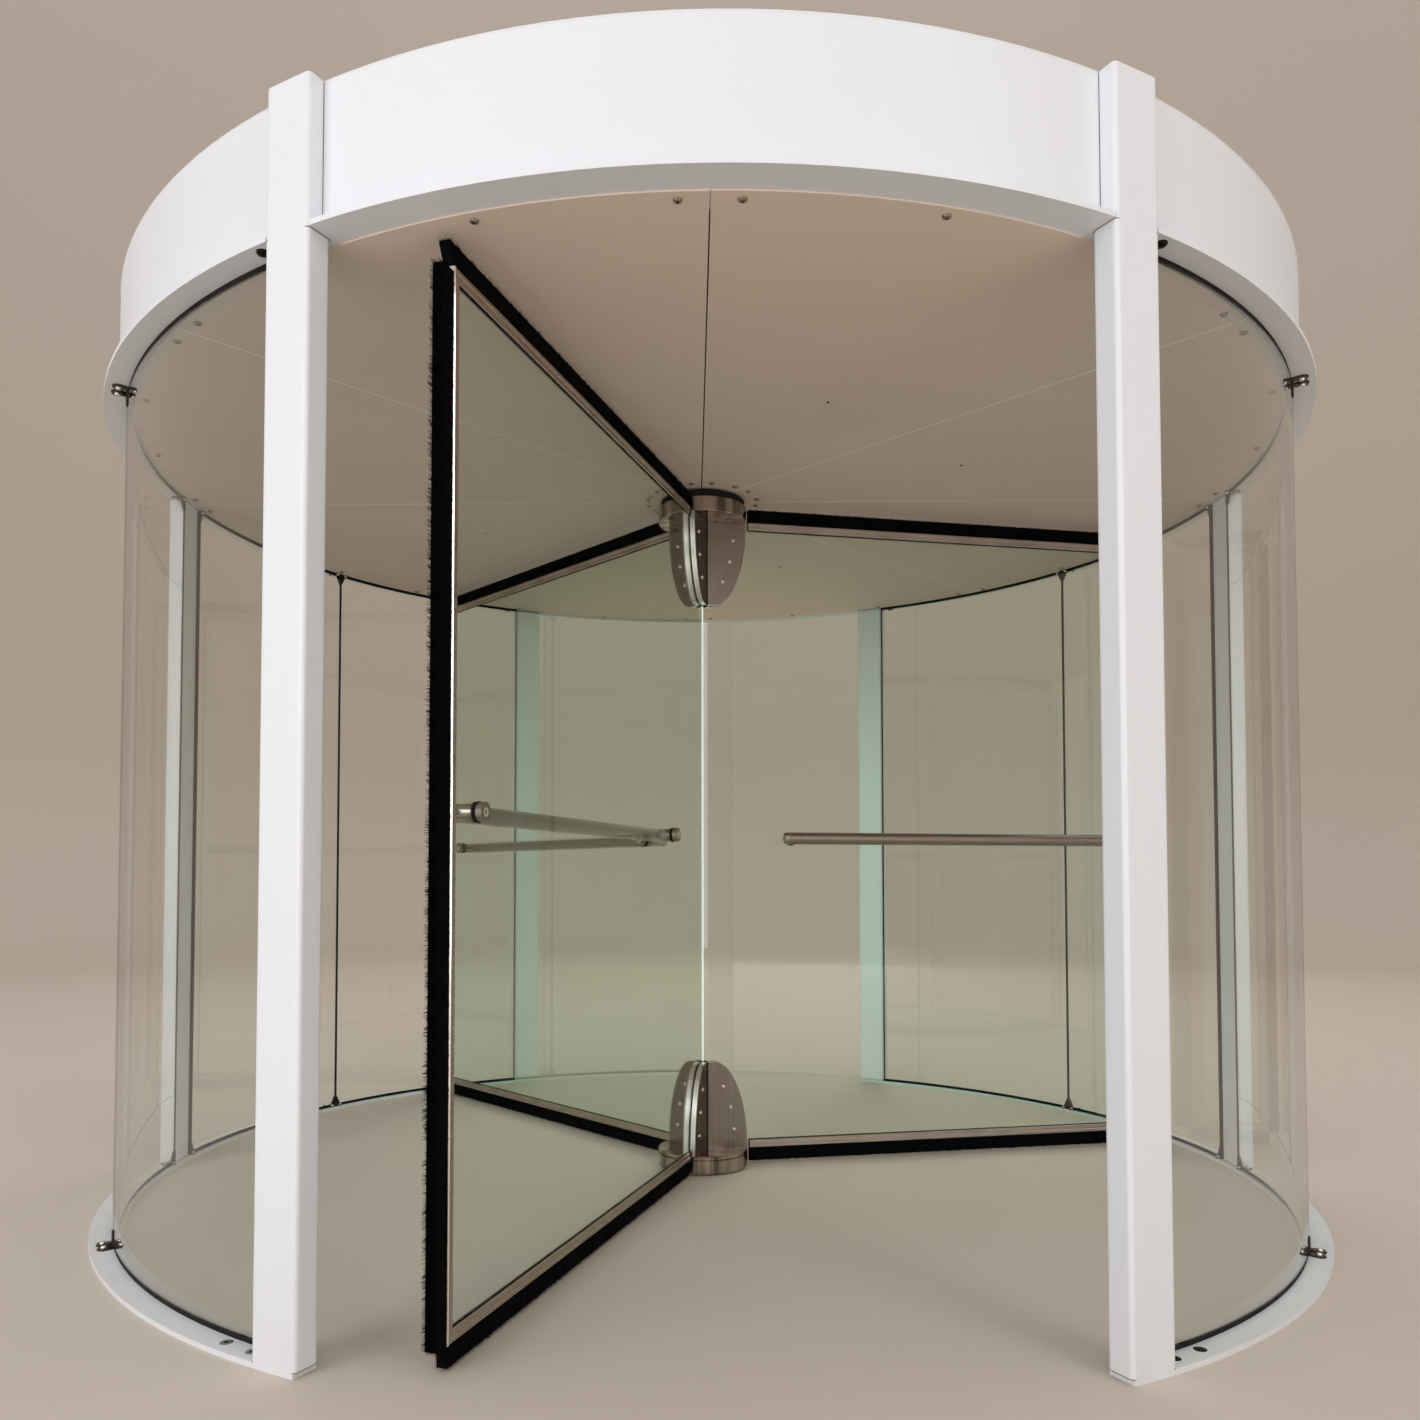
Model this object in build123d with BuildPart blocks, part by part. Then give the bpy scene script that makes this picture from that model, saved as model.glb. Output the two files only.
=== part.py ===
from build123d import *
import os
from math import asin, cos, degrees, radians, sin

# Three-wing revolving door: a glass drum on a ring plate, with a turning cross of three glass wings.
# Millimetres. The origin is on the floor at the turning axis, the front opening faces -Y and Z points up.
# Angles are in degrees, anticlockwise from +X as seen from above.

# Driving dimensions of the drum
passage_height = 2200
canopy_height = 308
ring_outer_radius = 1790
ring_width = 77
ring_thickness = 11
ring_cutback = 6
soffit_lap = 62
wall_glass_thickness = 12
wall_glass_setback = 54
seal_height = 10
pane_gap = 6
post_seal = 5
fascia_setback = 37
fascia_thickness = 3

# Posts: one on each side of both openings and one in the middle of each glass wall
post_width = 118
post_depth = 60
post_corner = 10
opening_half_angle = 27.6
pane_joint_angle = 30.6

# Clips that hold the cut corners of the panes
clip_width = 50
clip_height = 40
clip_tip = 8
clip_cover = 3
clip_seal = 2

# Ceiling, roof and bearings
ceiling_sectors = 8
ceiling_thickness = 3
ceiling_joint = 3
roof_thickness = 3
roof_drop = 12
spindle_radius = 30
spindle_clearance = 0.3
bearing_radius = 200
bearing_height = 62
floor_plate_radius = 120
floor_plate_thickness = 5

# Driving dimensions of the turning cross
wing_count = 3
wing_angle = 12.1
wing_glass_thickness = 12
wing_glass_inset = 10
wing_glass_inner_radius = 5
rail_height = 25
rail_thickness = 24
rail_channel_height = 11
bead_setback = 2
rail_chamfer = 1.5
rail_floor_height = 51
rail_ceiling_gap = 62
rail_hub_gap = 10
brush_thickness = 30
floor_clearance = 5
ceiling_clearance = 15
wall_clearance = 10
side_brush_reach = 56
brush_side_gap = 3
top_brush_overrun = 22

# Hubs
hub_radius = 150
lower_collar_height = 55
upper_collar_height = 48
hub_seal_height = 21
hub_seal_inset = 6
hub_seal_width = 22
hub_seal_clearance = 5
collar_edge = 2
collar_groove = 1.5
collar_groove_drop = 15
clamp_height = 277
clamp_thickness = 16
clamp_inner_radius = 17
clamp_tip = 20
gasket_thickness = 2
spindle_engagement = 40

# Push bars on round stand-offs
bar_height = 1071
bar_radius = 20
bar_offset = 62
bar_hub_gap = 115
bar_stile_gap = 78
bar_end_length = 14
bar_end_taper = 9
standoff_inset = 44
standoff_radius = 18
stem_radius = 8
bar_disc_radius = 21
bar_disc_thickness = 17

# Heights and radii that follow from the driving dimensions
soffit_top = passage_height + ring_thickness
total_height = passage_height + canopy_height
ring_inner_radius = ring_outer_radius - ring_width
soffit_inner_radius = ring_inner_radius - soffit_lap
glass_outer_radius = ring_outer_radius - wall_glass_setback
glass_inner_radius = glass_outer_radius - wall_glass_thickness
glass_middle_radius = glass_outer_radius - wall_glass_thickness / 2
glass_bottom = ring_thickness + seal_height
glass_top = passage_height - seal_height
fascia_outer_radius = ring_outer_radius - fascia_setback
fascia_inner_radius = fascia_outer_radius - fascia_thickness
ceiling_height = passage_height - ceiling_thickness
post_centre_radius = ring_outer_radius - post_depth / 2
half_post = post_width / 2
half_gap = pane_gap / 2
pane_end = half_post + post_seal

wing_bottom = rail_floor_height
wing_top = ceiling_height - rail_ceiling_gap
half_wing_glass = wing_glass_thickness / 2
half_rail = rail_thickness / 2
brush_top = ceiling_height - ceiling_clearance
brush_tip_radius = glass_inner_radius - wall_clearance
stile_outer_radius = brush_tip_radius - side_brush_reach
rail_end_radius = hub_radius + rail_hub_gap
clamp_outer_radius = hub_radius - collar_edge
collar_bottom = floor_plate_thickness + spindle_clearance
lower_collar_top = collar_bottom + lower_collar_height
hub_seal_top = ceiling_height - hub_seal_clearance
upper_collar_top = hub_seal_top - hub_seal_height
upper_collar_bottom = upper_collar_top - upper_collar_height
bar_inner_radius = hub_radius + bar_hub_gap
bar_outer_radius = stile_outer_radius - bar_stile_gap
standoff_radii = (bar_inner_radius + standoff_inset, bar_outer_radius - standoff_inset)

# Angles of the posts and of the bays between them
side_post_angles = (0, 180)
post_angles = {
    "front_right": -90 + opening_half_angle,
    "side_right": side_post_angles[0],
    "rear_right": 90 - opening_half_angle,
    "rear_left": 90 + opening_half_angle,
    "side_left": side_post_angles[1],
    "front_left": 270 - opening_half_angle,
}
wall_bays = {
    "front_right": (post_angles["front_right"], post_angles["side_right"], -pane_joint_angle),
    "rear_right": (post_angles["side_right"], post_angles["rear_right"], pane_joint_angle),
    "rear_left": (post_angles["rear_left"], post_angles["side_left"], 180 - pane_joint_angle),
    "front_left": (post_angles["side_left"], post_angles["front_left"], 180 + pane_joint_angle),
}
opening_bays = {
    "front": (post_angles["front_left"] - 360, post_angles["front_right"]),
    "rear": (post_angles["rear_right"], post_angles["rear_left"]),
}

os.makedirs("parts", exist_ok=True)


def save(piece, label):
    """Name a finished piece and write it."""
    piece.part.label = label
    export_step(piece.part, f"parts/{label}.step")


def curved_plan(inner_radius, outer_radius, start, end, start_gap, end_gap):
    """Plan of a piece of the drum between two radial lines.

    Its ends run parallel to the lines, at the given distances inside them."""
    with BuildSketch() as plan:
        with BuildLine():
            arcs = []
            for radius in (inner_radius, outer_radius):
                first = start + degrees(asin(start_gap / radius))
                last = end - degrees(asin(end_gap / radius))
                arcs.append(CenterArc((0, 0), radius, first, last - first))
            Line(arcs[0] @ 0, arcs[1] @ 0)
            Line(arcs[0] @ 1, arcs[1] @ 1)
        make_face()
    return plan.sketch


def wing_plane(number, offset=0):
    """Plane of one wing: X runs outwards, Y up, and its normal points to the push bar's side."""
    angle = radians(wing_angle + number * 360 / wing_count)
    outward = (cos(angle), sin(angle), 0)
    bar_side = (sin(angle), -cos(angle), 0)
    return Plane(origin=(0, 0, 0), x_dir=outward, z_dir=bar_side).offset(offset)


def tangent_plane(angle, radius):
    """Plane square to the radius at an angle: X runs along the wall, Y up, and its normal points outwards."""
    return Plane.YZ.rotated((0, 0, angle)).offset(radius)


# Base ring plates, one under each glass wall and its posts, with no lip behind the end posts
def make_base_rings():
    sides = {
        "right": (post_angles["front_right"], post_angles["rear_right"]),
        "left": (post_angles["rear_left"], post_angles["front_left"]),
    }
    end_gap = ring_cutback - half_post
    lip_depth = 2 * (ring_width - post_depth)
    for side, (start, end) in sides.items():
        with BuildPart() as base_ring:
            with BuildSketch():
                add(curved_plan(ring_inner_radius, ring_outer_radius, start, end, end_gap, end_gap))
                for angle in (start, end):
                    with PolarLocations(ring_inner_radius, 1, start_angle=angle):
                        Rectangle(lip_depth, post_width, mode=Mode.SUBTRACT)
            extrude(amount=ring_thickness)
        save(base_ring, f"base_ring_{side}")


# Box posts
def make_posts():
    for name, angle in post_angles.items():
        with BuildPart() as post:
            with BuildSketch(Plane.XY.offset(ring_thickness)):
                with PolarLocations(post_centre_radius, 1, start_angle=angle):
                    RectangleRounded(post_depth, post_width, post_corner)
            extrude(amount=total_height - ring_thickness)
        save(post, f"post_{name}")


def clip_places(start, end, joint):
    """Clips of one bay: the angle, and where the foot and the tip begin and end along the wall.

    One clip bridges the joint of the panes and one stands at the side post."""
    half_tip = clip_tip / 2
    half_clip = clip_width / 2
    side, angle = (-1, end) if end in side_post_angles else (1, start)
    foot = (side * half_post, side * (half_post + half_clip))
    tip = (side * half_post, side * (half_post + half_tip))
    return [(joint, (-half_clip, half_clip), (-half_tip, half_tip)), (angle, foot, tip)]


def clip_outline(foot, tip, level, up, margin=0):
    """Outline of a clip that narrows away from the ring, grown by a margin."""
    height = level + up * clip_height
    with BuildSketch() as outline:
        with BuildLine():
            Polyline((foot[0], level), (foot[1], level), (tip[1], height), (tip[0], height), close=True)
        make_face()
        if margin:
            offset(amount=margin, kind=Kind.INTERSECTION)
    return outline.sketch


# Curved wall glass: two panes in each bay, with corners cut for the clips
def make_wall_glass():
    bays = []
    for name, (start, end, joint) in wall_bays.items():
        with BuildPart() as panes:
            with BuildSketch(Plane.XY.offset(glass_bottom)):
                add(curved_plan(glass_inner_radius, glass_outer_radius, start, joint, pane_end, half_gap))
                add(curved_plan(glass_inner_radius, glass_outer_radius, joint, end, half_gap, pane_end))
            extrude(amount=glass_top - glass_bottom)
            for angle, foot, tip in clip_places(start, end, joint):
                for level, up in ((ring_thickness, 1), (passage_height, -1)):
                    with BuildSketch(tangent_plane(angle, glass_inner_radius - clip_cover)):
                        add(clip_outline(foot, tip, level, up, clip_seal))
                    extrude(amount=wall_glass_thickness + 2 * clip_cover, mode=Mode.SUBTRACT)
        save(panes, f"wall_glass_{name}")
        bays.append(panes.part)
    return bays


# Clips in the cut corners of the panes, a little proud of the glass on both sides
def make_glass_clips():
    with BuildPart() as clips:
        for bay in wall_bays.values():
            for angle, foot, tip in clip_places(*bay):
                for level, up in ((ring_thickness, 1), (passage_height, -1)):
                    with BuildSketch(tangent_plane(angle, glass_inner_radius - clip_cover)):
                        add(clip_outline(foot, tip, level, up))
                    extrude(amount=wall_glass_thickness + 2 * clip_cover)
    save(clips, "wall_glass_clips")
    return clips.part


# Rubber seals that frame the panes: along the rings, the posts, the joints and the clips
def make_glass_seals(panes, clips):
    with BuildPart() as seals:
        for start, end, _ in wall_bays.values():
            with BuildSketch(Plane.XY.offset(ring_thickness)):
                add(curved_plan(glass_inner_radius, glass_outer_radius, start, end, half_post, half_post))
            extrude(amount=passage_height - ring_thickness)
        for bay in panes:
            add(bay, mode=Mode.SUBTRACT)
        add(clips, mode=Mode.SUBTRACT)
    save(seals, "wall_glass_seals")


# Soffit ring, notched round the posts and split behind them, and the fascia that stands on it
def make_canopy_edge():
    groups = {
        "front": [opening_bays["front"]],
        "rear": [opening_bays["rear"]],
        "right": [wall_bays["front_right"][:2], wall_bays["rear_right"][:2]],
        "left": [wall_bays["rear_left"][:2], wall_bays["front_left"][:2]],
    }
    for name, bays in groups.items():
        with BuildPart() as soffit:
            with BuildSketch(Plane.XY.offset(passage_height)):
                for start, end in bays:
                    add(curved_plan(soffit_inner_radius, ring_outer_radius, start, end, 0, 0))
                for angle in post_angles.values():
                    with PolarLocations(post_centre_radius, 1, start_angle=angle):
                        Rectangle(post_depth, post_width, mode=Mode.SUBTRACT)
            extrude(amount=ring_thickness)
        save(soffit, f"soffit_ring_{name}")
        with BuildPart() as fascia:
            with BuildSketch(Plane.XY.offset(soffit_top)):
                for bay in bays:
                    add(curved_plan(fascia_inner_radius, fascia_outer_radius, *bay, half_post, half_post))
            extrude(amount=total_height - soffit_top)
        save(fascia, f"fascia_{name}")


# Ceiling of eight sector panels, screwed up against the soffit ring
def make_ceiling():
    step = 360 / ceiling_sectors
    gap = ceiling_joint / 2
    inner = spindle_radius * 2
    with BuildPart() as ceiling:
        with BuildSketch(Plane.XY.offset(ceiling_height)):
            for number in range(ceiling_sectors):
                start = -90 + number * step
                add(curved_plan(inner, ring_inner_radius, start, start + step, gap, gap))
        extrude(amount=ceiling_thickness)
    save(ceiling, "ceiling_panels")


# Flat roof plate inside the top of the fascia, notched round the posts
def make_roof():
    with BuildPart() as roof:
        with BuildSketch(Plane.XY.offset(total_height - roof_drop)):
            Circle(fascia_inner_radius)
            for angle in post_angles.values():
                with PolarLocations(post_centre_radius, 1, start_angle=angle):
                    Rectangle(post_depth, post_width, mode=Mode.SUBTRACT)
        extrude(amount=roof_thickness)
    save(roof, "roof_plate")


# Bearings: a flanged housing on the ceiling and a plate on the floor, each with a spindle for the hub
def make_bearings():
    with BuildPart() as top_bearing:
        with BuildSketch(Plane.XY.offset(passage_height)):
            Circle(bearing_radius)
        extrude(amount=bearing_height)
        with BuildSketch(Plane.XY.offset(passage_height)):
            Circle(spindle_radius)
        extrude(amount=-(passage_height - upper_collar_top + spindle_engagement))
    save(top_bearing, "top_bearing")
    with BuildPart() as floor_bearing:
        with BuildSketch():
            Circle(floor_plate_radius)
        extrude(amount=floor_plate_thickness)
        with BuildSketch(Plane.XY.offset(floor_plate_thickness)):
            Circle(spindle_radius)
        extrude(amount=spindle_engagement)
    save(floor_bearing, "floor_bearing")


# Hub collars, bored for the spindles, and the black seal ring above the upper one
def make_collars():
    bore_depth = spindle_engagement + floor_plate_thickness
    places = (
        (collar_bottom, lower_collar_height, collar_bottom, lower_collar_top - collar_groove_drop),
        (
            upper_collar_bottom,
            upper_collar_height,
            upper_collar_top - bore_depth,
            upper_collar_bottom + collar_groove_drop,
        ),
    )
    with BuildPart() as collars:
        for bottom, height, _, _ in places:
            with BuildSketch(Plane.XY.offset(bottom)):
                Circle(hub_radius)
            extrude(amount=height)
        chamfer(collars.edges().filter_by(GeomType.CIRCLE), collar_edge)
        for _, _, bore_bottom, groove in places:
            with BuildSketch(Plane.XY.offset(bore_bottom)):
                Circle(spindle_radius + spindle_clearance)
            extrude(amount=bore_depth, mode=Mode.SUBTRACT)
            with BuildSketch(Plane.XY.offset(groove)):
                Circle(hub_radius)
                Circle(hub_radius - collar_groove, mode=Mode.SUBTRACT)
            extrude(amount=collar_groove, mode=Mode.SUBTRACT)
    save(collars, "hub_collars")
    with BuildPart() as seal:
        with BuildSketch(Plane.XY.offset(upper_collar_top)):
            Circle(hub_radius - hub_seal_inset)
            Circle(hub_radius - hub_seal_inset - hub_seal_width, mode=Mode.SUBTRACT)
        extrude(amount=hub_seal_height)
    save(seal, "hub_seal_ring")


def clamp_outline(root, up):
    """Outline of a clamp plate: straight inner edge, short flat tip and an elliptical outer edge."""
    tip = root + up * clamp_height
    shoulder = clamp_inner_radius + clamp_tip
    with BuildSketch() as outline:
        with BuildLine():
            Line((clamp_inner_radius, root), (clamp_inner_radius, tip))
            Line((clamp_inner_radius, tip), (shoulder, tip))
            EllipticalCenterArc(
                (shoulder, root),
                clamp_outer_radius - shoulder,
                clamp_height,
                start_angle=0 if up > 0 else 270,
                arc_size=90,
            )
            Line((clamp_outer_radius, root), (clamp_inner_radius, root))
        make_face()
    return outline.sketch


# Clamp plates on both faces of each wing at both hub collars, on rubber gaskets
def make_clamps():
    layers = {
        "clamp_gaskets": (half_wing_glass, gasket_thickness),
        "clamp_plates": (half_wing_glass + gasket_thickness, clamp_thickness),
    }
    for name, (reach, thickness) in layers.items():
        with BuildPart() as layer:
            for root, up in ((lower_collar_top, 1), (upper_collar_bottom, -1)):
                for number in range(wing_count):
                    for face in (reach, -reach - thickness):
                        with BuildSketch(wing_plane(number, face)):
                            add(clamp_outline(root, up))
                        extrude(amount=thickness)
        save(layer, name)


# Wings: glass, a slim frame of rails and stile, brushes on three edges and a push bar
def make_wing_glass(number):
    outer = stile_outer_radius - wing_glass_inset
    bottom = wing_bottom + wing_glass_inset
    top = wing_top - wing_glass_inset
    hub_gap = upper_collar_bottom - lower_collar_top
    hub_middle = (lower_collar_top + upper_collar_bottom) / 2
    with BuildPart() as glass:
        with BuildSketch(wing_plane(number, -half_wing_glass)):
            with Locations(((rail_end_radius + outer) / 2, (bottom + top) / 2)):
                Rectangle(outer - rail_end_radius, top - bottom)
            with Locations(((wing_glass_inner_radius + rail_end_radius) / 2, hub_middle)):
                Rectangle(rail_end_radius - wing_glass_inner_radius, hub_gap)
            with Locations(*[(radius, bar_height) for radius in standoff_radii]):
                Circle(stem_radius, mode=Mode.SUBTRACT)
        extrude(amount=wing_glass_thickness)
    save(glass, f"wing_glass_{number + 1}")


# Frame of rails and stile: a slim bead along the glass, and round it a channel that holds the brush
def make_wing_frame(number):
    length = stile_outer_radius - rail_end_radius
    height = wing_top - wing_bottom
    middle = (wing_top + wing_bottom) / 2
    centre = rail_end_radius + length / 2
    layers = []
    for half_thickness, depth in ((half_rail - bead_setback, rail_height), (half_rail, rail_channel_height)):
        with BuildPart() as layer:
            with BuildSketch(wing_plane(number, -half_thickness)):
                with Locations((centre, middle)):
                    Rectangle(length, height)
                with Locations((centre - depth, middle)):
                    Rectangle(length, height - 2 * depth, mode=Mode.SUBTRACT)
            extrude(amount=2 * half_thickness)
            sides = layer.faces().filter_by(wing_plane(number))
            chamfer(sides.edges().filter_by(lambda edge: edge.length > rail_height), rail_chamfer)
        layers.append(layer.part)
    with BuildPart() as wing_frame:
        add(layers)
        with BuildSketch(wing_plane(number, -half_wing_glass)):
            with Locations((centre - wing_glass_inset, middle)):
                Rectangle(length, height - 2 * wing_glass_inset)
        extrude(amount=wing_glass_thickness, mode=Mode.SUBTRACT)
    save(wing_frame, f"wing_frame_{number + 1}")


def make_wing_brushes(number):
    strips = (
        (rail_end_radius, stile_outer_radius, floor_clearance, wing_bottom),
        (rail_end_radius, stile_outer_radius + top_brush_overrun, wing_top, brush_top),
        (stile_outer_radius, brush_tip_radius, wing_bottom + brush_side_gap, wing_top - brush_side_gap),
    )
    with BuildPart() as brushes:
        with BuildSketch(wing_plane(number, -brush_thickness / 2)):
            for inner, outer, bottom, top in strips:
                with Locations(((inner + outer) / 2, (bottom + top) / 2)):
                    Rectangle(outer - inner, top - bottom)
        extrude(amount=brush_thickness)
    save(brushes, f"wing_brushes_{number + 1}")


def make_push_bar(number):
    plane = wing_plane(number)
    start = plane.from_local_coords(Vector(bar_inner_radius, bar_height, bar_offset))
    places = [(radius, bar_height) for radius in standoff_radii]
    with BuildPart() as bar:
        with BuildSketch(Plane(origin=start, z_dir=plane.x_dir)):
            Circle(bar_radius)
        extrude(amount=bar_outer_radius - bar_inner_radius)
        for end_face in bar.faces().filter_by(GeomType.PLANE):
            chamfer(end_face.edges(), bar_end_length, bar_end_taper, reference=end_face)
        with BuildSketch(wing_plane(number, half_wing_glass)):
            with Locations(*places):
                Circle(standoff_radius)
        extrude(amount=bar_offset - half_wing_glass)
        with BuildSketch(wing_plane(number, -half_wing_glass)):
            with Locations(*places):
                Circle(stem_radius)
        extrude(amount=wing_glass_thickness)
        with BuildSketch(wing_plane(number, -half_wing_glass)):
            with Locations(*places):
                Circle(bar_disc_radius)
        extrude(amount=-bar_disc_thickness)
    save(bar, f"push_bar_{number + 1}")


make_base_rings()
make_posts()
wall_panes = make_wall_glass()
glass_clips = make_glass_clips()
make_glass_seals(wall_panes, glass_clips)
make_canopy_edge()
make_ceiling()
make_roof()
make_bearings()
make_collars()
make_clamps()
for wing in range(wing_count):
    make_wing_glass(wing)
    make_wing_frame(wing)
    make_wing_brushes(wing)
    make_push_bar(wing)
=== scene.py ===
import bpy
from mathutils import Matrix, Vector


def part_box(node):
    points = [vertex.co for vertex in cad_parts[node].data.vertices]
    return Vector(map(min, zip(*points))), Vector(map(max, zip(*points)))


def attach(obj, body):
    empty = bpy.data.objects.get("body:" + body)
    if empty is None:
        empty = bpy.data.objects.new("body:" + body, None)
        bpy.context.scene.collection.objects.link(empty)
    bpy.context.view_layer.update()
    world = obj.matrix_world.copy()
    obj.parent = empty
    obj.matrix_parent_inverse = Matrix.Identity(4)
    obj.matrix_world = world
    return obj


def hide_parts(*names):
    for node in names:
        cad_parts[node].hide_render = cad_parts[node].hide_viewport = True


bl_info = {
    "name": "Revolving Door",
    "version": (1, 0, 0),
    "blender": (4, 5, 0),
    "location": "3D View > Sidebar > Revolving Door",
    "description": "Finishes, brushes, screws, seals and stage of a three-wing revolving door",
    "category": "Object",
}

from math import atan2, ceil, cos, hypot, inf, pi, radians, sin

import bmesh
import bpy
from mathutils import Matrix, Vector

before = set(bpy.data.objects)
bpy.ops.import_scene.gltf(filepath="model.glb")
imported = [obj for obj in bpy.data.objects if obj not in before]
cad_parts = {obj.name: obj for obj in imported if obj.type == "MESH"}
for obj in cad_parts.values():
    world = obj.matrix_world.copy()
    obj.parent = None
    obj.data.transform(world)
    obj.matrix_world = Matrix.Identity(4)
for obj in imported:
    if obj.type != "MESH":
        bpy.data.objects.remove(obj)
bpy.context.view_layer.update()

# Metres. The origin is on the floor at the turning axis, the front opening faces -Y and Z points up.
MM = 0.001
TOLERANCE = 1 * MM
DRUM = "drum"
CROSS = "turning_cross"


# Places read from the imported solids
def outlying(node, furthest, above=-inf):
    """Distance from the turning axis to the furthest or nearest point of a node above a height."""
    reaches = [hypot(v.co.x, v.co.y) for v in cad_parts[node].data.vertices if v.co.z > above]
    return max(reaches) if furthest else min(reaches)


def heading(node):
    """Angle from +X at which a node lies furthest from the turning axis."""
    limit = outlying(node, True) - TOLERANCE
    rim = [v.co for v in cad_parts[node].data.vertices if hypot(v.co.x, v.co.y) > limit]
    return atan2(sum(p.y for p in rim), sum(p.x for p in rim))


WINGS = {number: heading(f"wing_frame_{number}") for number in (1, 2, 3)}
RING_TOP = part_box("base_ring_right")[1].z
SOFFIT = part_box("soffit_ring_front")[0].z
SOFFIT_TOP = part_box("soffit_ring_front")[1].z
CANOPY_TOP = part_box("fascia_front")[1].z
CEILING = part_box("ceiling_panels")[0].z
ROOF_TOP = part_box("roof_plate")[1].z
DRUM_RADIUS = outlying("base_ring_right", True)
RING_INNER = outlying("base_ring_right", False)
FASCIA_RADIUS = outlying("fascia_front", True)
GLASS_OUTER = outlying("wall_glass_front_right", True)
GLASS_INNER = outlying("wall_glass_front_right", False)
HALF_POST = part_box("post_side_right")[1].y
POST_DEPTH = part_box("post_side_right")[1].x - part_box("post_side_right")[0].x
CEILING_INNER = outlying("ceiling_panels", False)
CEILING_OUTER = outlying("ceiling_panels", True)
POSTS = sorted(
    atan2(low.y + high.y, low.x + high.x) % (2 * pi)
    for low, high in (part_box(name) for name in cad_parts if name.startswith("post_"))
)
WING_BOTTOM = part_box("wing_frame_1")[0].z
WING_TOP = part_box("wing_frame_1")[1].z
STILE_OUTER = outlying("wing_frame_1", True)
RAIL_END = outlying("wing_frame_1", False)
BRUSH_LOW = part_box("wing_brushes_1")[0].z
BRUSH_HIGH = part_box("wing_brushes_1")[1].z
BRUSH_REACH = outlying("wing_brushes_1", True)
TOP_BRUSH_END = outlying("wing_brushes_1", True, WING_TOP + TOLERANCE)
HUB_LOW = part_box("clamp_plates")[0].z
HUB_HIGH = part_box("clamp_plates")[1].z
MIDDLE = (HUB_LOW + HUB_HIGH) / 2
CLAMP_HEIGHTS = [v.co.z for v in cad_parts["clamp_plates"].data.vertices]
CLAMP_TOP = max(z for z in CLAMP_HEIGHTS if z < MIDDLE)
CLAMP_UNDER = min(z for z in CLAMP_HEIGHTS if z > MIDDLE)
COLLAR_TOP = max(v.co.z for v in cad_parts["hub_collars"].data.vertices if v.co.z < MIDDLE)
COLLAR_UNDER = min(v.co.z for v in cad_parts["hub_collars"].data.vertices if v.co.z > MIDDLE)
COLLAR_RADIUS = outlying("hub_collars", True)
BAR_HEIGHT = (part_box("push_bar_1")[0].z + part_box("push_bar_1")[1].z) / 2

# Places on a wing: along it from the turning axis, out from the middle of its glass, and for the screws
# of a clamp also up from the root of its plates. The ends of a push bar face back and out along the wing.
STANDOFFS = (309 * MM, 1536 * MM)
BAR_ENDS = ((265 * MM, -1), (1580 * MM, 1))
BAR_OUT = 62 * MM
DISC_OUT = 23 * MM
CLAMP_OUT = 24 * MM
CLAMP_SCREWS = ((102.5 * MM, 56.5 * MM), (91 * MM, 128.5 * MM), (67 * MM, 197 * MM))

# Rows of screws and plugs on the drum: distance from the turning axis, and degrees beside a joint of the
# ceiling or the middle of an opening
SECTORS = 8
CEILING_ROW, BESIDE_JOINT = 1688 * MM, (2.05, 15.5)
HUB_ROW, BESIDE_HUB_JOINT = 187 * MM, 9.9
PLUG_ROW = 855 * MM
BASE_ROW, BESIDE_OPENING = 1757 * MM, (30.65, 33.3)
SOFFIT_ROW, AT_POST = 1767 * MM, 30.6
ROOF_ROW = FASCIA_RADIUS - 40 * MM

# Tufts of a brush: shortest and longest as shares of its reach, cut even or frayed where it rubs on the
# wall, how much neighbours differ, how thick the tip is beside the root, and clumps on a metre
EVEN_TIPS = (0.97, 1.02)
FRAYED_TIPS = (0.86, 1.06)
OWN_LENGTHS = (0.97, 1.01)
TIP_SHARE = 0.35
CLUMPS = 26.0

# The photograph's camera, matched to its rings, posts and wings, with places in the picture in pixels
PICTURE = 1420
FOCAL_LENGTH = 1129.4
PICTURE_CENTRE = (670.08, 839.88)
CAMERA_SPOT = (-0.0385, -3.742, 0.9342)
CAMERA_TILT, CAMERA_SWING = 92.02, 1.005
SENSOR = 36.0

# Lamps: place, width and height, watts and tint
LAMPS = {
    "key": ((-5.6, -6.6, 2.6), (5.0, 5.0), 305.0, "#EEF4FF"),
    "fill": ((4.5, -7.1, 2.9), (2.6, 5.6), 160.0, "#F4F8FF"),
    "front": ((0.6, -9.0, 3.0), (4.5, 2.0), 40.0, "#FFFFFF"),
    "back": ((2.0, 8.0, 7.0), (4.0, 4.0), 140.0, "#FFF8F0"),
}


def linear(code):
    """Linear colour of an sRGB hex value."""
    parts = [int(code[i : i + 2], 16) / 255 for i in (1, 3, 5)]
    return tuple(p / 12.92 if p <= 0.04045 else ((p + 0.055) / 1.055) ** 2.4 for p in parts) + (1.0,)


def length(name, description, millimetres):
    return bpy.props.FloatProperty(
        name=name, description=description, default=millimetres * MM, min=0.0, unit="LENGTH", precision=4
    )


def turn(name, description, degrees):
    return bpy.props.FloatProperty(
        name=name, description=description, default=radians(degrees), subtype="ANGLE", unit="ROTATION"
    )


def colour(name, description, code):
    return bpy.props.FloatVectorProperty(
        name=name, description=description, default=linear(code), size=4, min=0.0, max=1.0, subtype="COLOR"
    )


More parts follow.
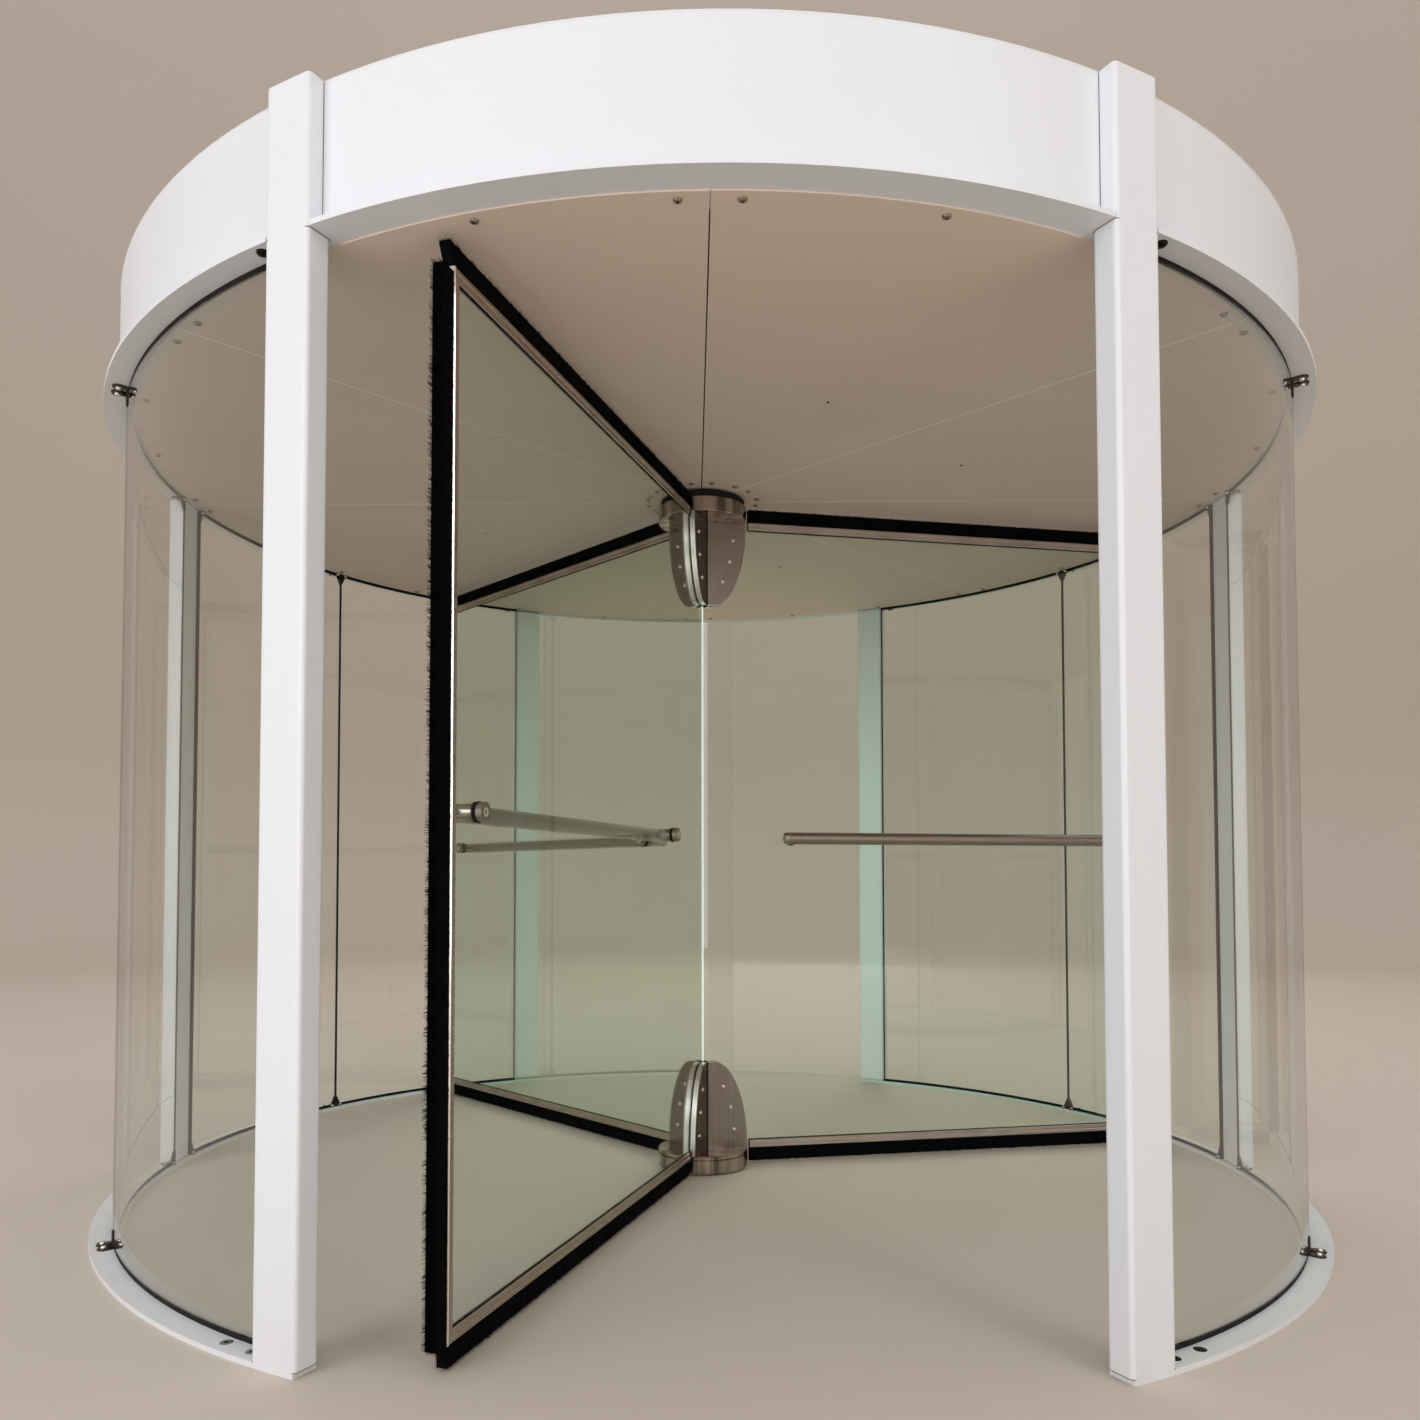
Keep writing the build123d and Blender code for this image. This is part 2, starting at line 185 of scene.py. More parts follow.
class DoorSizes(bpy.types.PropertyGroup):
    """Real sizes of the small pieces."""

    bristle_radius: length("Bristle radius", "Radius at the root of one tuft of bristles", 1.0)
    tuft_density: bpy.props.FloatProperty(
        name="Tufts",
        description="Tufts of bristles on each square metre of backing",
        default=120000.0,
        min=0.0,
    )
    bristle_lean: turn("Bristle lean", "Most that a tuft leans away from straight", 3.5)
    bristle_spread: length("Brush backing", "Width of the strip that the tufts stand on", 25)
    rail: length("Rail", "Width of the rails and the stile of a wing", 25)
    bead: length("Glazing bead", "Thickness of the frame beside the glass", 20)
    channel: length("Frame channel", "Thickness of the outer part of the frame", 24)
    wing_pane: length("Wing pane", "Thickness of the glass of a wing", 12)
    screw_diameter: length("Ceiling screw", "Diameter of the dome screws in the ceiling", 18)
    clamp_screw: length("Clamp screw", "Diameter of the socket screws in the clamp plates", 15)
    plate_screw: length("Base screw", "Diameter of the countersunk screws in the base plates", 24)
    plate_shade_ring: length("Base shade ring", "Diameter of the dark rubber rings under the base screws, whose rims are painted shade", 26)
    soffit_screw: length("Soffit screw", "Diameter of the dome screws under the canopy beside the posts", 26)
    lug_radius: length("Outer lug radius", "Radius of the round outer lugs of the pane clips", 16)
    inner_lug_radius: length("Inner lug radius", "Radius of the round inner lugs of the pane clips", 9)
    lug_neck: length("Lug neck", "Half width of a lug where it meets the glass", 8)
    lug_reach: length("Lug reach", "Distance of the outer lug screws from the glass", 22)
    lug_thickness: length("Lug thickness", "Thickness of the lugs of the pane clips", 5)
    lug_shade_pad: length("Lug shade pad", "Thickness of the dark rubber pads under the lugs, whose rims are painted shade", 1.5)
    lug_screw: length("Lug screw", "Diameter of the screws in the lugs", 16)
    lug_spacing: length("Lug spacing", "Distance between the two lugs of a clip", 39)
    joint_angle: turn("Pane joint", "Angle of the joint of the panes from the side post", 30.6)
    gasket: length("Gasket", "Width of the rubber line between glass and frame", 1.6)
    joint_line: length("Joint line", "Height of the strip of painted shade where a post meets a ring", 1.2)
    rim: length("Folded rim", "Height of the folded edge on top of the canopy", 3)
    stile_strip: length("Stile strip", "Width of the polished strip along the outer edge of a wing", 3)
    collar_groove: length("Collar groove shade", "Width of the black ring painted as the shade of the groove round the lower collar", 2.5)
    groove_drop: length("Groove drop", "Distance of the groove's lower edge from the top of the collar", 13)
    disc_screw: length("Disc screw", "Diameter of the screws in the fixing discs of the push bars", 20)
    ceiling_plug: length("Ceiling plug", "Diameter of the small plugs in the ceiling", 8)
    roof_screw: length("Roof screw", "Diameter of the dome screws along the edge of the roof", 12)


class DoorColours(bpy.types.PropertyGroup):
    """Colours of the finishes."""

    white: colour("Powder coat", "Satin white of posts, rings and canopy", "#ECEEF1")
    # The ceiling's warm tint is partly painted bounce light.
    ceiling: colour("Ceiling paint", "Matt off-white of the ceiling panels, warmed partly with painted bounce light", "#F1DCCC")
    steel: colour("Stainless steel", "Brushed stainless steel", "#A2968C")
    bright: colour("Polished steel", "Polished stainless steel", "#F0EEEB")
    rubber: colour("Rubber", "Black rubber and silicone", "#0A0A0B")
    nylon: colour("Bristles", "Black nylon bristles", "#040405")
    wall_glass: colour("Wall glass", "Clear laminated glass", "#F6F8F5")
    wing_glass: colour("Wing glass", "Toughened glass with a green tint", "#ECF6EE")
    clip: colour("Pane clips", "Dark bronze coated steel", "#2B2622")
    lug: colour("Clip lugs", "Bronze coated steel, worn lighter", "#4A4038")
    plain: colour("Plain steel", "Screws of the left base plate", "#B4AFA8")
    blackened: colour("Blackened steel", "Screws of the right base plate and under the canopy", "#15130F")
    zinc: colour("Zinc plate", "Screws in the ceiling", "#9A8F7F")
    joint_shade: colour("Joint shade", "Painted shade in the joints where the posts meet the rings and the canopy", "#5A5048")
    joint_highlight: colour("Joint highlight", "Painted highlight in the joints of the ceiling", "#FFFFFF")
    glass_edge_glow: colour("Glass edge glow", "Inner edge of the glass of a wing and its painted glow", "#F2F8F4")
    floor: colour("Floor", "Pale plain floor", "#D8CBBD")
    sky: colour("Sky", "Soft light from all round", "#EDF1F6")


# Meshes
def finish_mesh(name, shape, material, smooth_below=35):
    """Turn a bmesh into a named object with one material, smooth apart from its edges."""
    bmesh.ops.remove_doubles(shape, verts=shape.verts, dist=0.01 * MM)
    bmesh.ops.recalc_face_normals(shape, faces=shape.faces)
    mesh = bpy.data.meshes.new(name)
    shape.to_mesh(mesh)
    shape.free()
    mesh.materials.append(material)
    mesh.shade_smooth()
    mesh.set_sharp_from_angle(angle=radians(smooth_below))
    piece = bpy.data.objects.new(name, mesh)
    bpy.context.scene.collection.objects.link(piece)
    return piece


def add_box(shape, low, high, place=Matrix.Identity(4), edge=0.0):
    """Add a box between two corners, with its edges rounded off, moved to its place."""
    made = bmesh.ops.create_cube(shape, size=1.0)["verts"]
    low, high = Vector(low), Vector(high)
    for vert in made:
        vert.co = Vector(near + (c + 0.5) * (far - near) for near, c, far in zip(low, vert.co, high))
    if edge:
        edges = list({e for v in made for e in v.link_edges})
        made = bmesh.ops.bevel(
            shape, geom=edges, offset=edge, segments=2, profile=0.5, affect="EDGES", clamp_overlap=True
        )["verts"] + [v for v in made if v.is_valid]
    bmesh.ops.transform(shape, matrix=place, verts=list(set(made)))


def add_prism(shape, outline, low, high, place=Matrix.Identity(4)):
    """Add a prism over a flat outline of (x, y) points."""
    rings = [[shape.verts.new(place @ Vector((x, y, z))) for x, y in outline] for z in (low, high)]
    shape.faces.new(list(reversed(rings[0])))
    shape.faces.new(rings[1])
    for i in range(len(outline)):
        j = (i + 1) % len(outline)
        shape.faces.new((rings[0][i], rings[0][j], rings[1][j], rings[1][i]))


def add_turned(shape, profile, steps=32, place=Matrix.Identity(4)):
    """Add a turned shape from (radius, height) points; a third value of 6 makes that ring a hexagon."""
    rings = []
    for radius, height, *sides in profile:
        if radius == 0:
            rings.append([shape.verts.new(place @ Vector((0, 0, height)))])
            continue
        ring = []
        for step in range(steps):
            angle = 2 * pi * step / steps
            reach = radius
            if sides:
                reach *= cos(pi / 6) / cos(angle % (pi / 3) - pi / 6)
            ring.append(shape.verts.new(place @ Vector((reach * cos(angle), reach * sin(angle), height))))
        rings.append(ring)
    for first, second in zip(rings, rings[1:]):
        for i in range(steps):
            j = (i + 1) % steps
            around = ((first, i), (first, j), (second, j), (second, i))
            unique = list(dict.fromkeys(ring[k % len(ring)] for ring, k in around))
            if len(unique) > 2:
                shape.faces.new(unique)


def add_arc(shape, inner, outer, low, high, start, end, step=radians(2.0)):
    """Add a curved bar about the turning axis between two angles."""
    count = max(2, ceil((end - start) / step))
    sections = []
    for i in range(count + 1):
        angle = start + (end - start) * i / count
        corners = ((inner, low), (outer, low), (outer, high), (inner, high))
        sections.append([shape.verts.new((r * cos(angle), r * sin(angle), z)) for r, z in corners])
    for first, second in zip(sections, sections[1:]):
        for i in range(4):
            j = (i + 1) % 4
            shape.faces.new((first[i], first[j], second[j], second[i]))
    shape.faces.new(list(reversed(sections[0])))
    shape.faces.new(sections[-1])


def lug_outline(neck, centre, half_neck, radius, across, steps=16):
    """Outline of a lug along X: a round end about its screw that narrows towards the glass."""
    way = 1 if centre > neck else -1
    points = [(neck, across - way * half_neck)]
    for i in range(steps + 1):
        angle = pi * i / steps - pi / 2
        points.append((centre + way * radius * cos(angle), across + way * radius * sin(angle)))
    return points + [(neck, across + way * half_neck)]


def wing_place(number):
    """Frame of a wing: X outwards, Y up and Z towards the push bar."""
    angle = WINGS[number]
    outward, aside = (cos(angle), sin(angle), 0), (sin(angle), -cos(angle), 0)
    return Matrix((outward, (0, 0, 1), aside)).transposed().to_4x4()


def pointing(origin, direction):
    """Place whose Z runs along a direction, at a point."""
    return Matrix.Translation(origin) @ Vector(direction).to_track_quat("Z", "Y").to_matrix().to_4x4()


def ride_and_slot(piece, body):
    """Tie a piece to the body that it moves with."""
    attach(piece, body)
    return piece


# Materials. A noise scale counts grains on a metre, so 1 / (3 * MM) gives grains about 3 mm wide.
def add_node(tree, kind, inputs=None, **settings):
    """Add a node, with its settings and with its inputs set or linked."""
    node = tree.nodes.new(kind)
    for name, value in settings.items():
        setattr(node, name, value)
    for key, value in (inputs or {}).items():
        if isinstance(value, bpy.types.NodeSocket):
            tree.links.new(value, node.inputs[key])
        else:
            node.inputs[key].default_value = value
    return node


def start_material(name, base, roughness, metallic=0.0):
    """Named material, its node tree and its shader."""
    material = bpy.data.materials.new(name)
    material.use_nodes = True
    tree = material.node_tree
    surface = tree.nodes["Principled BSDF"]
    surface.inputs["Base Color"].default_value = base
    surface.inputs["Roughness"].default_value = roughness
    surface.inputs["Metallic"].default_value = metallic
    return material, tree, surface


def object_place(tree, turn_angle=0.0, scale=(1.0, 1.0, 1.0)):
    """Object coordinates, turned back by a wing's angle and stretched."""
    place = add_node(tree, "ShaderNodeTexCoord").outputs["Object"]
    inputs = {"Vector": place, "Rotation": (0.0, 0.0, -turn_angle)}
    turned = add_node(tree, "ShaderNodeMapping", inputs, vector_type="POINT").outputs[0]
    inputs = {0: turned, 1: scale}
    return add_node(tree, "ShaderNodeVectorMath", inputs, operation="MULTIPLY").outputs[0]


def pattern(
    tree, surface, scale, detail=2.0, grain=0.5, place=None, colours=None, roughness=None, relief=None
):
    """Let a noise drive a finish between two colours, between two roughnesses, or up and down."""
    if place is None:
        place = add_node(tree, "ShaderNodeTexCoord").outputs["Object"]
    inputs = {"Vector": place, "Scale": scale, "Detail": detail, "Roughness": grain}
    drift = add_node(tree, "ShaderNodeTexNoise", inputs).outputs["Fac"]
    if colours:
        inputs = {0: drift, 6: colours[0], 7: colours[1]}
        tinted = add_node(tree, "ShaderNodeMix", inputs, data_type="RGBA").outputs[2]
        tree.links.new(tinted, surface.inputs["Base Color"])
    if roughness:
        inputs = {"Value": drift, "From Min": 0.3, "From Max": 0.7}
        inputs |= {"To Min": roughness[0], "To Max": roughness[1]}
        rough = add_node(tree, "ShaderNodeMapRange", inputs).outputs["Result"]
        tree.links.new(rough, surface.inputs["Roughness"])
    if relief:
        inputs = {"Height": drift, "Strength": relief[0], "Distance": relief[1]}
        raised = add_node(tree, "ShaderNodeBump", inputs).outputs["Normal"]
        tree.links.new(raised, surface.inputs["Normal"])


def shade(base, share):
    """A colour made darker or lighter by a share."""
    return tuple(min(1.0, c * share) for c in base[:3]) + (1.0,)


def turned_from(tree, directions, low, high):
    """One where the surface faces away from all the given directions, and nought where it faces one."""
    own = add_node(tree, "ShaderNodeTexCoord").outputs["Normal"]
    nearest = 0.0
    for direction in directions:
        inputs = {0: own, 1: direction}
        along = add_node(tree, "ShaderNodeVectorMath", inputs, operation="DOT_PRODUCT").outputs["Value"]
        along = add_node(tree, "ShaderNodeMath", {0: along}, operation="ABSOLUTE").outputs[0]
        nearest = add_node(tree, "ShaderNodeMath", {0: along, 1: nearest}, operation="MAXIMUM").outputs[0]
    inputs = {"Value": nearest, "From Min": low, "From Max": high, "To Min": 1.0, "To Max": 0.0}
    return add_node(tree, "ShaderNodeMapRange", inputs).outputs["Result"]


def powder_coat(base):
    # Polyester powder coat on aluminium: satin, with a fine orange peel, and a little dust near the floor.
    material, tree, surface = start_material("satin powder coat on aluminium", base, 0.38)
    pattern(tree, surface, 1.3, colours=(base, shade(base, 0.95)), roughness=(0.33, 0.45))
    clean = surface.inputs["Base Color"].links[0].from_socket
    place = add_node(tree, "ShaderNodeTexCoord").outputs["Object"]
    height = add_node(tree, "ShaderNodeSeparateXYZ", {0: place}).outputs["Z"]
    inputs = {"Value": height, "From Min": 0.0, "From Max": 0.5, "To Min": 0.3, "To Max": 0.0}
    low_down = add_node(tree, "ShaderNodeMapRange", inputs).outputs["Result"]
    inputs = {"Vector": place, "Scale": 9.0, "Detail": 2.0}
    specks = add_node(tree, "ShaderNodeTexNoise", inputs).outputs["Fac"]
    dust = add_node(tree, "ShaderNodeMath", {0: low_down, 1: specks}, operation="MULTIPLY").outputs[0]
    inputs = {0: dust, 6: clean, 7: linear("#CFC6B8")}
    dusty = add_node(tree, "ShaderNodeMix", inputs, data_type="RGBA").outputs[2]
    tree.links.new(dusty, surface.inputs["Base Color"])
    pattern(tree, surface, 1 / (2.2 * MM), 0.0, relief=(0.12, 0.08 * MM))
    return material


def ceiling_paint(base):
    # Matt water paint on aluminium sheet: soft roller stipple and faint clouding. The warm pink tint is
    # partly the paint's own and partly painted warm bounce light.
    material, tree, surface = start_material("matt paint on aluminium sheet", base, 0.62)
    pattern(tree, surface, 2.2, 3.0, colours=(base, shade(base, 0.9)), roughness=(0.55, 0.7))
    pattern(tree, surface, 1 / (3.0 * MM), 0.0, relief=(0.2, 0.1 * MM))
    return material


def roof_sheet(base):
    # Coated steel sheet: plain, with dust blown over it.
    material, tree, surface = start_material("coated roof sheet", shade(base, 0.75), 0.6)
    dusty = (shade(base, 0.78), shade(base, 0.62))
    pattern(tree, surface, 1.7, 4.0, 0.6, colours=dusty, relief=(0.1, 0.4 * MM))
    return material


def clear_glass(name, base):
    # Float glass: flat and polished, so it is smooth. Light for the pieces behind it passes through.
    material, tree, surface = start_material(name, base, 0.0)
    surface.inputs["IOR"].default_value = 1.52
    surface.inputs["Transmission Weight"].default_value = 1.0
    output = tree.nodes["Material Output"]
    passing = add_node(tree, "ShaderNodeBsdfTransparent", {"Color": base}).outputs[0]
    ray = add_node(tree, "ShaderNodeLightPath").outputs["Is Shadow Ray"]
    mixed = add_node(tree, "ShaderNodeMixShader", {0: ray, 1: surface.outputs[0], 2: passing})
    tree.links.new(mixed.outputs[0], output.inputs["Surface"])
    return material


def brushed_steel(
    name, base, grain, turn_angle=0.0, roughness=(0.2, 0.36), ground_faces=(), polish=None, reflection_streaks=None
):
    # Stainless steel ground with a belt: fine scratches that run one way, so the grain is stretched.
    # Edges that face away from the ground faces are polished, so they flash. The streaks are painted
    # reflection: upright bands, dark and light, put into the colour for what a turned ring picks up from its
    # surroundings.
    material, tree, surface = start_material(name, base, roughness[1], 1.0)
    inputs = {"Vector": object_place(tree, turn_angle, grain), "Scale": 1.0, "Detail": 2.0, "Roughness": 0.65}
    scratches = add_node(tree, "ShaderNodeTexNoise", inputs).outputs["Fac"]
    inputs = {"Vector": object_place(tree, turn_angle), "Scale": 5.0, "Detail": 2.0}
    smears = add_node(tree, "ShaderNodeTexNoise", inputs).outputs["Fac"]
    inputs = {0: scratches, 6: shade(base, 0.8), 7: shade(base, 1.15)}
    ground = add_node(tree, "ShaderNodeMix", inputs, data_type="RGBA").outputs[2]
    # Painted reflection: upright dark and light bands in the colour
    if reflection_streaks:
        inputs = {"Vector": object_place(tree, 0.0, reflection_streaks), "Scale": 1.0, "Detail": 2.0}
        reflection_bands = add_node(tree, "ShaderNodeTexNoise", inputs).outputs["Fac"]
        inputs = {"Value": reflection_bands, "From Min": 0.42, "From Max": 0.58}
        reflection_bands = add_node(tree, "ShaderNodeMapRange", inputs).outputs["Result"]
        inputs = {0: reflection_bands, 6: shade(base, 0.3), 7: ground}
        ground = add_node(tree, "ShaderNodeMix", inputs, data_type="RGBA").outputs[2]
    both = add_node(tree, "ShaderNodeMath", {0: scratches, 1: smears}, operation="ADD").outputs[0]
    inputs = {"Value": both, "From Min": 0.7, "From Max": 1.3, "To Min": roughness[0], "To Max": roughness[1]}
    rough = add_node(tree, "ShaderNodeMapRange", inputs).outputs["Result"]
    if ground_faces:
        edge = turned_from(tree, ground_faces, 0.85, 0.95)
        inputs = {0: edge, 6: ground, 7: polish}
        ground = add_node(tree, "ShaderNodeMix", inputs, data_type="RGBA").outputs[2]
        inputs = {"Value": edge, "To Min": rough, "To Max": 0.2}
        rough = add_node(tree, "ShaderNodeMapRange", inputs).outputs["Result"]
    tree.links.new(ground, surface.inputs["Base Color"])
    tree.links.new(rough, surface.inputs["Roughness"])
    inputs = {"Height": scratches, "Strength": 0.3, "Distance": 0.03 * MM}
    scored = add_node(tree, "ShaderNodeBump", inputs).outputs["Normal"]
    tree.links.new(scored, surface.inputs["Normal"])
    return material


def polished_steel(name, base, roughness=0.12):
    # Stainless steel polished by hand: bright, with a few faint smears.
    material, tree, surface = start_material(name, base, roughness, 1.0)
    pattern(tree, surface, 30.0, roughness=(roughness * 0.7, roughness * 1.8))
    return material


def black_rubber(base):
    # Moulded rubber: matt and a little dusty, with a fine pebbled skin.
    material, tree, surface = start_material("black moulded rubber", base, 0.7)
    surface.inputs["Specular IOR Level"].default_value = 0.3
    pattern(tree, surface, 14.0, colours=(base, linear("#141312")), roughness=(0.6, 0.85))
    pattern(tree, surface, 1 / (1.5 * MM), 0.0, relief=(0.2, 0.06 * MM))
    return material


def nylon_bristle(base):
    # Extruded nylon filament in thick tufts, black in itself. The colour is darker still: painted shade for
    # the light that is lost between the tufts, so the brush stays jet black.
    material, tree, surface = start_material("black nylon filament", base, 0.75)
    surface.inputs["Specular IOR Level"].default_value = 0.03
    pattern(tree, surface, 1 / (4.0 * MM), 0.0, colours=(shade(base, 0.6), linear("#0C0C0D")))
    return material


def dark_steel(name, base):
    # Steel with a dark bronze coating, worn lighter in places.
    material, tree, surface = start_material(name, base, 0.42, 0.85)
    pattern(tree, surface, 1 / (9.0 * MM), colours=(base, shade(base, 2.2)), roughness=(0.32, 0.55))
    return material


def shade_finish(base):
    # Painted shade in a narrow joint: a dull dark strip for the shadow in the gap, mottled darker and
    # lighter.
    material, tree, surface = start_material("grey joint sealant", base, 0.8)
    pattern(tree, surface, 1 / (25.0 * MM), 3.0, colours=(shade(base, 0.5), shade(base, 1.3)))
    return material


def highlight_finish(base):
    # Pale strip in the joints of the ceiling, smoother than the sheets: painted highlight for the lit edges
    # of the sheets in each joint.
    material, tree, surface = start_material("painted joint filler", base, 0.5)
    pattern(tree, surface, 6.0, 3.0, colours=(base, shade(base, 0.92)))
    return material


def glass_edge_glow(base):
    # Ground and polished glass edge, which gathers light from the whole pane. Its bright line is a painted
    # glow: the edge gives off a little light of its own colour.
    material, tree, surface = start_material("polished glass edge", base, 0.18)
    # Painted glow: the edge emits light, though it is no lamp.
    surface.inputs["Emission Color"].default_value = base
    surface.inputs["Emission Strength"].default_value = 0.35
    surface.inputs["Coat Weight"].default_value = 0.6
    upright = object_place(tree, 0.0, (1.0, 1.0, 0.05))
    pattern(tree, surface, 120.0, place=upright, colours=(base, shade(base, 0.8)))
    return material


def floor_finish(base):
    # Cast floor: pale and matt, with soft clouding.
    material, tree, surface = start_material("pale cast floor", base, 0.7)
    pattern(tree, surface, 0.35, colours=(base, shade(base, 0.96)))
    return material


# Geometry node trees
def new_tree(name, sockets):
    """Geometry node tree with a geometry input and output and named inputs."""
    tree = bpy.data.node_groups.new(name, "GeometryNodeTree")
    tree.interface.new_socket("Geometry", in_out="INPUT", socket_type="NodeSocketGeometry")
    for label, kind, default in sockets:
        socket = tree.interface.new_socket(label, in_out="INPUT", socket_type=kind)
        if default is not None:
            socket.default_value = default
    tree.interface.new_socket("Geometry", in_out="OUTPUT", socket_type="NodeSocketGeometry")
    return tree, tree.nodes.new("NodeGroupInput").outputs, tree.nodes.new("NodeGroupOutput").inputs


def bake_tree(piece, tree, values):
    """Run a tree on a piece with its inputs set, and keep the result as a plain mesh."""
    modifier = piece.modifiers.new("shape", "NODES")
    modifier.node_group = tree
    for item in tree.interface.items_tree:
        if item.in_out == "INPUT" and item.name in values:
            modifier[item.identifier] = values[item.name]
    graph = bpy.context.evaluated_depsgraph_get()
    mesh = bpy.data.meshes.new_from_object(piece.evaluated_get(graph), depsgraph=graph)
    piece.modifiers.remove(modifier)
    old = piece.data
    mesh.name = old.name
    piece.data = mesh
    bpy.data.meshes.remove(old)
    return piece


def plant(tree, given, result, points, instance, rotation, scale):
    """Stand an instance on every point, make the instances real and give them their material."""
    inputs = {"Points": points, "Instance": instance, "Rotation": rotation, "Scale": scale}
    planted = add_node(tree, "GeometryNodeInstanceOnPoints", inputs).outputs[0]
    realised = add_node(tree, "GeometryNodeRealizeInstances", {0: planted}).outputs[0]
    inputs = {"Geometry": realised, "Material": given["Material"]}
    painted = add_node(tree, "GeometryNodeSetMaterial", inputs).outputs[0]
    tree.links.new(painted, result["Geometry"])
    return tree


def bristle_tree():
    """Tufts of bristles that stand on a strip: ragged in length and leaning at random."""
    tree, given, result = new_tree(
        "brush tufts",
        (
            ("Tuft Length", "NodeSocketFloat", 50 * MM),
            ("Tuft Radius", "NodeSocketFloat", 1 * MM),
            ("Tufts per Area", "NodeSocketFloat", 60000.0),
            ("Lean", "NodeSocketFloat", 0.2),
            ("Shortest", "NodeSocketFloat", 0.9),
            ("Longest", "NodeSocketFloat", 1.02),
            ("Seed", "NodeSocketInt", 1),
            ("Material", "NodeSocketMaterial", None),
        ),
    )
    inputs = {"Mesh": given["Geometry"], "Density": given["Tufts per Area"], "Seed": given["Seed"]}
    scattered = add_node(tree, "GeometryNodeDistributePointsOnFaces", inputs).outputs
    inputs = {0: given["Tuft Radius"], 1: TIP_SHARE}
    tip = add_node(tree, "ShaderNodeMath", inputs, operation="MULTIPLY").outputs[0]
    inputs = {"Radius Top": tip, "Radius Bottom": given["Tuft Radius"], "Depth": given["Tuft Length"]}
    inputs |= {"Vertices": 3}
    tuft = add_node(tree, "GeometryNodeMeshCone", inputs).outputs["Mesh"]
    inputs = {0: given["Lean"], 1: -1.0}
    back = add_node(tree, "ShaderNodeMath", inputs, operation="MULTIPLY").outputs[0]
    least = add_node(tree, "ShaderNodeCombineXYZ", {0: back, 1: back, 2: -pi}).outputs[0]
    most = add_node(tree, "ShaderNodeCombineXYZ", {0: given["Lean"], 1: given["Lean"], 2: pi}).outputs[0]
    inputs = {"Min": least, "Max": most, "Seed": given["Seed"]}
    lean = add_node(tree, "FunctionNodeRandomValue", inputs, data_type="FLOAT_VECTOR").outputs["Value"]
    turned = add_node(tree, "FunctionNodeEulerToRotation", {0: lean}).outputs[0]
    inputs = {"Rotation": scattered["Rotation"], "Rotate By": turned}
    facing = add_node(tree, "FunctionNodeRotateRotation", inputs, rotation_space="LOCAL").outputs[0]
    place = add_node(tree, "GeometryNodeInputPosition").outputs[0]
    inputs = {"Vector": place, "Scale": CLUMPS, "Detail": 4.0, "Roughness": 0.7}
    clumps = add_node(tree, "ShaderNodeTexNoise", inputs).outputs["Fac"]
    inputs = {"Value": clumps, "From Min": 0.3, "From Max": 0.7}
    inputs |= {"To Min": given["Shortest"], "To Max": given["Longest"]}
    ragged = add_node(tree, "ShaderNodeMapRange", inputs).outputs["Result"]
    inputs = {2: OWN_LENGTHS[0], 3: OWN_LENGTHS[1], "Seed": given["Seed"]}
    own = add_node(tree, "FunctionNodeRandomValue", inputs, data_type="FLOAT").outputs[1]
    tall = add_node(tree, "ShaderNodeMath", {0: ragged, 1: own}, operation="MULTIPLY").outputs[0]
    size = add_node(tree, "ShaderNodeCombineXYZ", {0: 1.0, 1: 1.0, 2: tall}).outputs[0]
    return plant(tree, given, result, scattered["Points"], tuft, facing, size)


def fixing_tree():
    """A screw or small fitting at each point, turned to the point's facing."""
    tree, given, result = new_tree(
        "fixings on points",
        (
            ("Fixing", "NodeSocketObject", None),
            ("Diameter", "NodeSocketFloat", 10 * MM),
            ("Seed", "NodeSocketInt", 1),
            ("Material", "NodeSocketMaterial", None),
        ),
    )
    head = add_node(tree, "GeometryNodeObjectInfo", {"Object": given["Fixing"]}).outputs["Geometry"]
    facing = add_node(tree, "GeometryNodeInputNamedAttribute", {"Name": "facing"}, data_type="FLOAT_VECTOR")
    inputs = {"Vector": facing.outputs["Attribute"]}
    turned = add_node(tree, "FunctionNodeAlignRotationToVector", inputs, axis="Z").outputs[0]
    inputs = {2: 0.0, 3: 2 * pi, "Seed": given["Seed"]}
    spin = add_node(tree, "FunctionNodeRandomValue", inputs, data_type="FLOAT").outputs[1]
    spun = add_node(tree, "ShaderNodeCombineXYZ", {2: spin}).outputs[0]
    driven = add_node(tree, "FunctionNodeEulerToRotation", {0: spun}).outputs[0]
    inputs = {"Rotation": turned, "Rotate By": driven}
    turned = add_node(tree, "FunctionNodeRotateRotation", inputs, rotation_space="LOCAL").outputs[0]
    return plant(tree, given, result, given["Geometry"], head, turned, given["Diameter"])


def keep_tree(maker, name):
    """A node tree that is made the first time it is needed."""
    return bpy.data.node_groups.get(name) or maker()


# Fixings with a diameter of 1, standing on Z = 0
DOME_SOCKET = (
    (0, -0.02),
    (0.5, -0.02),
    (0.5, 0.06),
    (0.47, 0.16),
    (0.38, 0.25),
    (0.26, 0.3),
    (0.2, 0.31),
    (0.19, 0.3, 6),
    (0.18, 0.12, 6),
    (0, 0.1),
)
FLUSH_SOCKET = (
    (0, -0.02),
    (0.5, -0.02),
    (0.5, 0.015),
    (0.47, 0.035),
    (0.28, 0.035),
    (0.26, 0.02),
    (0.24, -0.01, 6),
    (0, -0.012),
)
# Flat ring under a base screw, a little wider than it: its dark rim is painted shade
SHADE_RING = ((0, -0.01), (0.5, -0.01), (0.5, 0.012), (0, 0.012))
DOME_PLAIN = (
    (0, -0.02),
    (0.5, -0.02),
    (0.5, 0.05),
    (0.46, 0.17),
    (0.35, 0.27),
    (0.2, 0.33),
    (0, 0.35),
)

